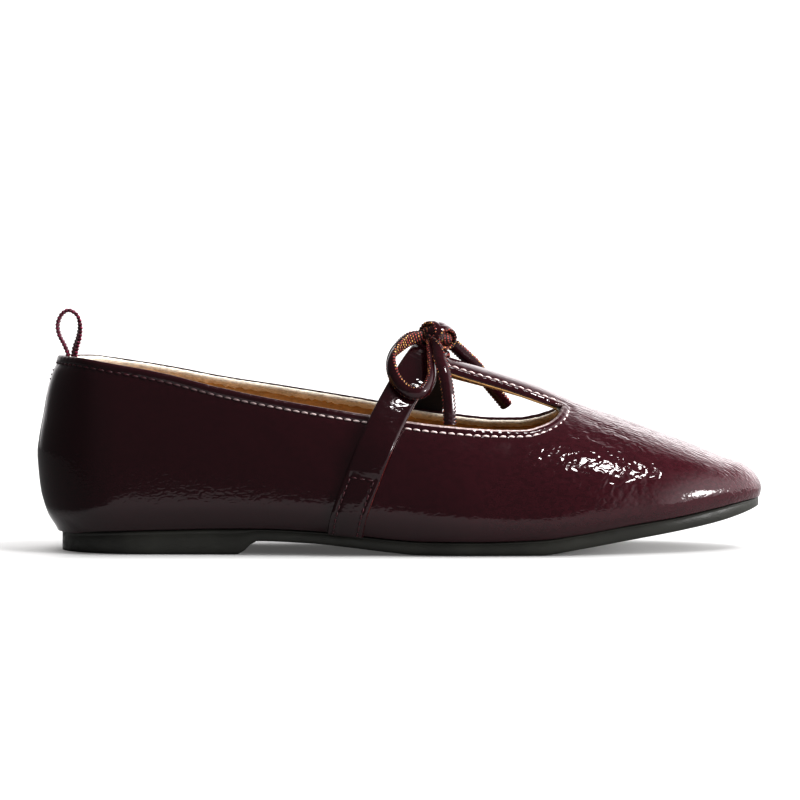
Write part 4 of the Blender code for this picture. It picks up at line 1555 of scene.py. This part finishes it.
def loop_frames(side):
    """Loop of the bow, its ribbon standing on edge over one side of the strap."""
    spots, ways = [], []
    for perch in LOOP_LINE:
        normal = outward(perch.station, side, perch.lift)
        spots.append(skin(perch.station, side, perch.lift) + normal * perch.stand)
        ways.append(normal)
    leans = [math.radians(lean.x) for lean in flowing([(perch.lean, 0.0, 0.0) for perch in LOOP_LINE], 26)]
    frames = square_frames(flowing(spots, 26), flowing(ways, 26), RIBBON_WIDTH)
    return [leaned(frame, lean * side) for frame, lean in zip(frames, leans)]


def leaned(frame, angle):
    """Frame turned about the strip's own line."""
    across = frame.across * math.cos(angle) + frame.out * math.sin(angle)
    out = frame.out * math.cos(angle) - frame.across * math.sin(angle)
    return Frame(frame.point, across, out, frame.width)


def tail_frames(spots, wide, twist):
    """Tail of the bow, twisted where it leaves the knot."""
    points = flowing(spots, 26)
    frames = square_frames(points, [Vector(wide)] * len(points), RIBBON_WIDTH)
    steps = len(points) - 1
    turns = [math.radians(twist) * (1.0 - ease(i / steps / 0.42)) for i in range(steps + 1)]
    return [leaned(frame, turn) for frame, turn in zip(frames, turns)]


def knot_centre():
    """Centre of the knot, held off the strap's top."""
    frames = strap_frames()
    middle = len(frames) // 2
    crown = 0.5 * (frames[middle - 1].point + frames[middle].point)
    lift = 0.5 * STRAP_THICK + FIT_GAP + KNOT_HALF[2]
    return crown + Vector((math.sin(KNOT_TILT), 0.0, math.cos(KNOT_TILT))) * lift


Wrap = namedtuple("Wrap", "turn width reach_y reach_z shift")
WRAPS = (
    Wrap(-24.0, 5.0, 5.0, 3.9, 0.6),
    Wrap(34.0, 4.2, 4.7, 3.4, -2.6),
    Wrap(-40.0, 4.2, 4.6, 3.4, 3.0),
)


def build_knot(finish):
    """Knot: a soft core with three turns of the ribbon pulled round it."""
    centre = knot_centre()
    tilt = Matrix.Rotation(KNOT_TILT, 3, "Y")
    mesh = bmesh.new()
    for wrap in WRAPS:
        turn = tilt @ Matrix.Rotation(math.radians(wrap.turn), 3, "Z")
        steps = 84
        points = []
        for i in range(steps):
            angle = 2.0 * math.pi * i / steps
            points.append(centre + turn @ Vector((wrap.shift, wrap.reach_y * math.cos(angle),
                                                  wrap.reach_z * math.sin(angle))))
        lengths = arc_lengths(points)
        wide = turn @ Vector((1.0, 0.0, 0.0))
        rings = []
        for i, point in enumerate(points):
            along = (points[(i + 1) % steps] - points[i - 1]).normalized()
            ring_frame = Frame(point, wide, wide.cross(along).normalized(), wrap.width)
            patent_side = 1 if ring_frame.out.dot(point - centre) > 0.0 else -1
            rings.append(ribbon_ring(ring_frame, 1.3, lengths[i], patent_side))
        sweep(mesh, rings, RIBBON_FINISHES, closed=True)
    sides = 24
    core = []
    for i in range(1, 16):
        polar = math.pi * i / 16
        ring = []
        for k in range(sides):
            angle = 2.0 * math.pi * k / sides
            share = (math.cos(polar), math.sin(polar) * math.cos(angle), math.sin(polar) * math.sin(angle))
            ring.append(centre + tilt @ Vector([half * part for half, part in zip(KNOT_CORE, share)]))
        core.append(ring)
    sweep(mesh, core, [1] * sides)
    bmesh.ops.recalc_face_normals(mesh, faces=mesh.faces)
    add_piece("ribbon_knot", mesh, ribbon_materials(finish), ["bow_knot"], 60.0)


def build_bow(finish):
    """Tied bow: its knot, two loops and two tails."""
    build_knot(finish)
    near_tail = tail_frames(TAIL_NEAR, TAIL_NEAR_WIDE, TAIL_NEAR_TWIST)
    far_tail = tail_frames(TAIL_FAR, TAIL_FAR_WIDE, 0.0)
    build_ribbon("ribbon_loop_lateral", "bow_loop_lateral", loop_frames(-1), finish, 1)
    build_ribbon("ribbon_loop_medial", "bow_loop_medial", loop_frames(1), finish, -1)
    build_ribbon("ribbon_tail_lateral", "bow_tail_lateral", near_tail, finish, 1)
    build_ribbon("ribbon_tail_medial", "bow_tail_medial", far_tail, finish, 1)


def build_pull_loop(sizes, finish):
    """Woven tape folded into a loop at the heel, with the bar of stitches that holds it."""
    points = flowing(PULL_LINE, 30)
    lengths = arc_lengths(points)
    ways = [Vector((-0.45 * ease((run / lengths[-1] - 0.45) * 2.6), 1.0, 0.0)) for run in lengths]
    half = 0.5 * TAPE_THICK - 0.12
    rings = []
    for frame, run in zip(square_frames(points, ways, TAPE_WIDTH), lengths):
        beat = math.sin(2.0 * math.pi * run / TAPE_RIB)
        reach = 0.5 * frame.width + 0.12 * beat
        rib = 0.13 * beat
        outline = [(-reach, 0.0), (0.3 - reach, half * 0.8 + rib)]
        outline += [(share * reach, half + rib) for share in (-0.6, -0.3, 0.0, 0.3, 0.6)]
        outline += [(reach - 0.3, half * 0.8 + rib), (reach, 0.0), (reach - 0.3, -half * 0.8 - rib)]
        outline += [(share * reach, -half - rib) for share in (0.6, 0.3, 0.0, -0.3, -0.6)]
        outline += [(0.3 - reach, -half * 0.8 - rib)]
        rings.append(place_ring(frame, outline))
    mesh = bmesh.new()
    sweep(mesh, rings, [0] * len(rings[0]))
    bmesh.ops.recalc_face_normals(mesh, faces=mesh.faces)
    # The glint colour is a painted highlight, a lighter share of the tape.
    ground, thread, glint = (shade(finish.tape, level) for level in (0.35, 1.5, 2.2))
    woven = twill_material("pull_tape", ground, thread, glint, TAPE_RIB * MM, 0.4)
    add_piece("pull_tape", mesh, [woven], ["pull_loop"], 60.0)
    build_bartack(sizes, finish)


def build_bartack(sizes, finish):
    """Bar of close stitches across the top of the back seam."""
    surface = plain_surface()
    spine = spine_at(BACK_X)
    mesh = bmesh.new()
    for height in BARTACK_ROWS:
        row = []
        for share in (-1.0, -0.5, 0.0, 0.5, 1.0):
            near = Vector((BACK_X, spine + BARTACK_HALF * share, height))
            point, normal, _, _ = surface.find_nearest(near)
            row.append((point, normal))
        sew_row(mesh, row, BARTACK_PITCH, 0.5 * sizes.thread / MM)
    add_piece("back_bartack", mesh, [thread_material("strap_thread", finish, False)])


def plan_half(x, back, toe, side, inset):
    """Half breadth of a sole layer whose ends are at back and toe."""
    station = BACK_X + (TOE_X - BACK_X) * (x - back) / (toe - back)
    return (half_at[side](x) - tuck_at(x) - inset) * ends_share(station)


def layer_stations(back, toe, count, breaks=()):
    """Stations of a sole layer, closer at the ends, with given breaks kept."""
    places = [back + (toe - back) * 0.5 * (1.0 - math.cos(math.pi * i / count)) for i in range(count + 1)]
    for stop in breaks:
        nearest = min(range(1, count), key=lambda i: abs(places[i] - stop))
        places[nearest] = stop
    return sorted(places)


def layer_mesh(places, rings):
    """Closed layer from near and far edge points, one list of levels per station."""
    mesh = bmesh.new()
    edges = {}
    for i, place in enumerate(places):
        for side in SIDES:
            if side == 1 and i in (0, len(places) - 1):
                edges[i, side] = edges[i, -1]
            else:
                edges[i, side] = [mesh.verts.new(point) for point in rings(place, side)]
    for i in range(len(places) - 1):
        for side in SIDES:
            here, ahead = edges[i, side], edges[i + 1, side]
            for level in range(len(here) - 1):
                face(mesh, [here[level], ahead[level], ahead[level + 1], here[level + 1]])
        for level in (0, -1):
            corners = ((i, -1), (i + 1, -1), (i + 1, 1), (i, 1))
            face(mesh, [edges[corner][level] for corner in corners])
    bmesh.ops.recalc_face_normals(mesh, faces=mesh.faces)
    return mesh


def build_sole(finish):
    """Moulded rubber sole: heel block, arch, toe spring and a raised lip under the upper."""
    places = layer_stations(SOLE_BACK_X, SOLE_TOE_X, 180, (BREAST_X, SOLE[4].x, SOLE[8].x, SOLE[10].x))

    def rings(x, side):
        high, low = sole_top(x), sole_under(x)
        points = []
        for row in SOLE_SIDE:
            half = plan_half(x, SOLE_BACK_X, SOLE_TOE_X, side, SOLE_INSET + row.inset)
            points.append(Vector((x, spine_at(x) + side * half, high + (low - high) * row.share)))
        return points

    add_piece("rubber_sole", layer_mesh(places, rings), [rubber_material(finish)], ["outsole"], 35.0)


def build_sock(finish):
    """Sock on the insole, with a rounded edge."""
    places = layer_stations(INSOLE_BACK_X, INSOLE_TOE_X, 120)
    levels = ((0.0, 2.9), (0.5 * INSOLE_THICK, 2.2), (0.85 * INSOLE_THICK, 1.7), (INSOLE_THICK, 2.2))

    def rings(x, side):
        low = sole_top(x) + FIT_GAP
        points = []
        for height, inset in levels:
            half = plan_half(x, INSOLE_BACK_X, INSOLE_TOE_X, side, inset)
            points.append(Vector((x, spine_at(x) + side * half, low + height)))
        return points

    sock = cloth_material("sock_cloth", shade(finish.lining, 0.95), 0.9 * MM, 0.14 * MM, 0.16)
    add_piece("sock", layer_mesh(places, rings), [sock], ["insole"], 50.0)


# Stage

Lamp = namedtuple("Lamp", "name towards strength angle mirrored")
LAMPS = (
    Lamp("key", (0.41, -0.26, 0.88), 1.2, 10.5, True),
    Lamp("top", (0.15, 0.1, 0.98), 3.5, 70.0, False),
    Lamp("fill", (0.85, -0.35, 0.40), 2.2, 40.0, False),
    Lamp("side", (0.89, -0.41, 0.17), 1.3, 13.0, True),
)

# Way towards the large soft light behind the shoe, as a unit vector
GLOW_WAY = (0.45, 0.72, 0.53)

# Light of the studio by the way looked: it eases from low to high between two limits along an axis
Level = namedtuple("Level", "way start end low high")
WALL_LEVELS = (
    Level("Y", 0.45, 0.9, 0.0, 1.0),
    Level("Z", 0.0, 0.4, 1.0, 2.0),
    Level("Z", 0.8, 0.5, 0.0, 1.0),
    Level("X", -0.75, -0.3, 0.0, 1.0),
)
ROOM_LEVELS = (
    Level("X", -0.95, -0.5, 0.14, 0.22),
    Level("X", 0.5, 0.9, 0.0, 2.78),
)
BACKDROP_LEVEL = 2.0

# Floor, metres: its reach, where a painted shade lies on it left of the heel for reflections only and how dark
# it is, its own glow, and a painted shadow under the shoe that cuts that glow, with its fading edges
FLOOR_REACH = 20.0
FLOOR_PAINTED_SHADE_X = (-0.165, -0.135)
FLOOR_PAINTED_SHADE = 0.22
FLOOR_GLOW = (0.32, 0.315, 0.31)
UNDER_SHOE_PAINTED_SHADOW = 0.62
Fade = namedtuple("Fade", "way clear full")
PAINTED_SHADOW_FADES = (
    Fade("Y", -0.055, -0.034),
    Fade("Y", 0.09, 0.05),
    Fade("X", -0.128, -0.108),
    Fade("X", 0.09, 0.05),
)


def build_stage(finish):
    """Floor, studio surroundings, lamps and the camera at the photograph's angle."""
    scene = bpy.context.scene
    scene.view_settings.view_transform = "Standard"
    scene.view_settings.gamma = 0.8
    build_floor(finish)
    build_surroundings(scene)
    for lamp in LAMPS:
        light = bpy.data.lights.new(lamp.name, "SUN")
        light.energy = lamp.strength
        light.angle = math.radians(lamp.angle)
        holder = bpy.data.objects.new(lamp.name, light)
        holder.rotation_euler = Vector(lamp.towards).to_track_quat("Z", "Y").to_euler()
        holder.visible_glossy = lamp.mirrored
        scene.collection.objects.link(holder)
    lens = bpy.data.cameras.new("camera")
    lens.sensor_width = SENSOR
    lens.lens = SENSOR * VIEW_DISTANCE / (VIEW_PIXEL * FRAME_PIXELS)
    lens.clip_end = 100.0
    eye = bpy.data.objects.new("camera", lens)
    tilt = math.radians(VIEW_ELEVATION)
    target = CENTRE_SHIFT + Vector((0.0, 0.0, VIEW_HEIGHT))
    eye.location = (target + Vector((0.0, -math.cos(tilt), math.sin(tilt))) * VIEW_DISTANCE) * MM
    eye.rotation_euler = (0.5 * math.pi - tilt, 0.0, 0.0)
    scene.collection.objects.link(eye)
    scene.camera = eye


def build_floor(finish):
    """Pale floor, a hair under the sole, glowing evenly to the camera except for a painted shadow under the
    shoe, with a painted shade left of the heel that only reflections see.
    """
    mesh = bmesh.new()
    bmesh.ops.create_grid(mesh, x_segments=8, y_segments=8, size=FLOOR_REACH)
    bmesh.ops.translate(mesh, verts=mesh.verts, vec=(0.0, 0.0, -0.1 * MM))
    data = bpy.data.meshes.new("floor")
    mesh.to_mesh(data)
    mesh.free()
    material, nodes, shader = shaded("floor_paint", 1.0, 0.0)
    seen = nodes.add("ShaderNodeLightPath").outputs["Is Camera Ray"]
    axes = nodes.axes(nodes.place())
    # Painted shade: left of the heel the floor is darker in reflections, as if light fell off there.
    dark = shade(finish.floor, FLOOR_PAINTED_SHADE)
    mirrored = nodes.mix(nodes.spread(axes["X"], *FLOOR_PAINTED_SHADE_X), dark, finish.floor)
    nodes.join(nodes.mix(seen, mirrored, finish.floor), shader["Base Color"])
    # Painted shadow: the floor's glow to the camera is cut under the shoe.
    under = nodes.math("MULTIPLY", seen, UNDER_SHOE_PAINTED_SHADOW)
    for fade in PAINTED_SHADOW_FADES:
        under = nodes.math("MULTIPLY", under, nodes.spread(axes[fade.way], fade.clear, fade.full))
    lit = nodes.math("SUBTRACT", seen, under)
    nodes.join(nodes.mix(lit, (0.0, 0.0, 0.0), FLOOR_GLOW), shader["Emission Color"])
    shader["Emission Strength"].default_value = 1.0
    data.materials.append(material)
    floor = bpy.data.objects.new("floor", data)
    bpy.context.scene.collection.objects.link(floor)


def build_surroundings(scene):
    """White wall and a large soft light behind the shoe, and a bright end past the toe, in a dim studio."""
    world = bpy.data.worlds.new("studio")
    scene.world = world
    world.use_nodes = True
    nodes = Nodes(world.node_tree)
    looking = nodes.add("ShaderNodeTexCoord").outputs["Generated"]
    axes = nodes.axes(looking)
    towards = nodes.add("ShaderNodeVectorMath", {0: looking, 1: GLOW_WAY}, operation="DOT_PRODUCT")
    glow = nodes.spread(towards.outputs["Value"], 0.85, 0.99, 0.0, 1.8)
    wall = 1.0
    for level in WALL_LEVELS:
        wall = nodes.math("MULTIPLY", wall, nodes.spread(axes[level.way], *level[1:]))
    studio = nodes.math("ADD", glow, wall)
    for level in ROOM_LEVELS:
        studio = nodes.math("ADD", studio, nodes.spread(axes[level.way], *level[1:]))
    seen = nodes.add("ShaderNodeLightPath").outputs["Is Camera Ray"]
    backdrop = nodes.math("MULTIPLY", seen, BACKDROP_LEVEL)
    back = world.node_tree.nodes["Background"]
    nodes.join(nodes.math("MAXIMUM", studio, backdrop), back.inputs["Strength"])
    back.inputs["Color"].default_value = (1.0, 0.98, 0.99, 1.0)


class BuildUpper(bpy.types.Operator):
    """Patent upper with its folded topline and creases"""

    bl_idname = "flat_shoe.build_upper"
    bl_label = "Build upper"

    def execute(self, context):
        build_upper(context.scene.flat_shoe_sizes, context.scene.flat_shoe_finish)
        return {"FINISHED"}


class BuildLining(bpy.types.Operator):
    """Lining of the upper and its raw edge"""

    bl_idname = "flat_shoe.build_lining"
    bl_label = "Build lining"

    def execute(self, context):
        build_lining(context.scene.flat_shoe_sizes, context.scene.flat_shoe_finish)
        return {"FINISHED"}


class BuildToplineStitches(bpy.types.Operator):
    """Stitches along the topline"""

    bl_idname = "flat_shoe.build_topline_stitches"
    bl_label = "Build topline stitches"

    def execute(self, context):
        build_topline_stitches(context.scene.flat_shoe_sizes, context.scene.flat_shoe_finish)
        return {"FINISHED"}


class BuildStrap(bpy.types.Operator):
    """Strap over the instep with its sewn boxes"""

    bl_idname = "flat_shoe.build_strap"
    bl_label = "Build strap"

    def execute(self, context):
        build_strap(context.scene.flat_shoe_sizes, context.scene.flat_shoe_finish)
        return {"FINISHED"}


class BuildBow(bpy.types.Operator):
    """Ribbon bow: knot, two loops and two tails"""

    bl_idname = "flat_shoe.build_bow"
    bl_label = "Build bow"

    def execute(self, context):
        build_bow(context.scene.flat_shoe_finish)
        return {"FINISHED"}


class BuildPullLoop(bpy.types.Operator):
    """Woven pull loop at the heel and its bar of stitches"""

    bl_idname = "flat_shoe.build_pull_loop"
    bl_label = "Build pull loop"

    def execute(self, context):
        build_pull_loop(context.scene.flat_shoe_sizes, context.scene.flat_shoe_finish)
        return {"FINISHED"}


class BuildSole(bpy.types.Operator):
    """Moulded rubber sole"""

    bl_idname = "flat_shoe.build_sole"
    bl_label = "Build sole"

    def execute(self, context):
        build_sole(context.scene.flat_shoe_finish)
        return {"FINISHED"}


class BuildSock(bpy.types.Operator):
    """Sock inside the shoe"""

    bl_idname = "flat_shoe.build_sock"
    bl_label = "Build sock"

    def execute(self, context):
        build_sock(context.scene.flat_shoe_finish)
        return {"FINISHED"}


class BuildStage(bpy.types.Operator):
    """Floor, surroundings, lamps and camera"""

    bl_idname = "flat_shoe.build_stage"
    bl_label = "Build stage"

    def execute(self, context):
        build_stage(context.scene.flat_shoe_finish)
        return {"FINISHED"}


BUILDERS = (
    BuildUpper, BuildLining, BuildToplineStitches, BuildStrap, BuildBow, BuildPullLoop, BuildSole, BuildSock,
    BuildStage,
)


class FlatShoePanel(bpy.types.Panel):
    """Sizes, colours and builders of the flat shoe"""

    bl_idname = "VIEW3D_PT_flat_shoe"
    bl_label = "Flat shoe"
    bl_space_type = "VIEW_3D"
    bl_region_type = "UI"
    bl_category = "Flat shoe"

    def draw(self, context):
        for group in (context.scene.flat_shoe_sizes, context.scene.flat_shoe_finish):
            for name in group.bl_rna.properties.keys():
                if name not in ("rna_type", "name"):
                    self.layout.prop(group, name)
        for builder in BUILDERS:
            self.layout.operator(builder.bl_idname)


CLASSES = (ShoeSizes, ShoeFinish, *BUILDERS, FlatShoePanel)


def register():
    for made in CLASSES:
        bpy.utils.register_class(made)
    bpy.types.Scene.flat_shoe_sizes = bpy.props.PointerProperty(type=ShoeSizes)
    bpy.types.Scene.flat_shoe_finish = bpy.props.PointerProperty(type=ShoeFinish)


def unregister():
    del bpy.types.Scene.flat_shoe_finish
    del bpy.types.Scene.flat_shoe_sizes
    for made in reversed(CLASSES):
        bpy.utils.unregister_class(made)


def main():
    register()
    for builder in BUILDERS:
        group, name = builder.bl_idname.split(".")
        getattr(getattr(bpy.ops, group), name)()


if __name__ == "__main__":
    main()
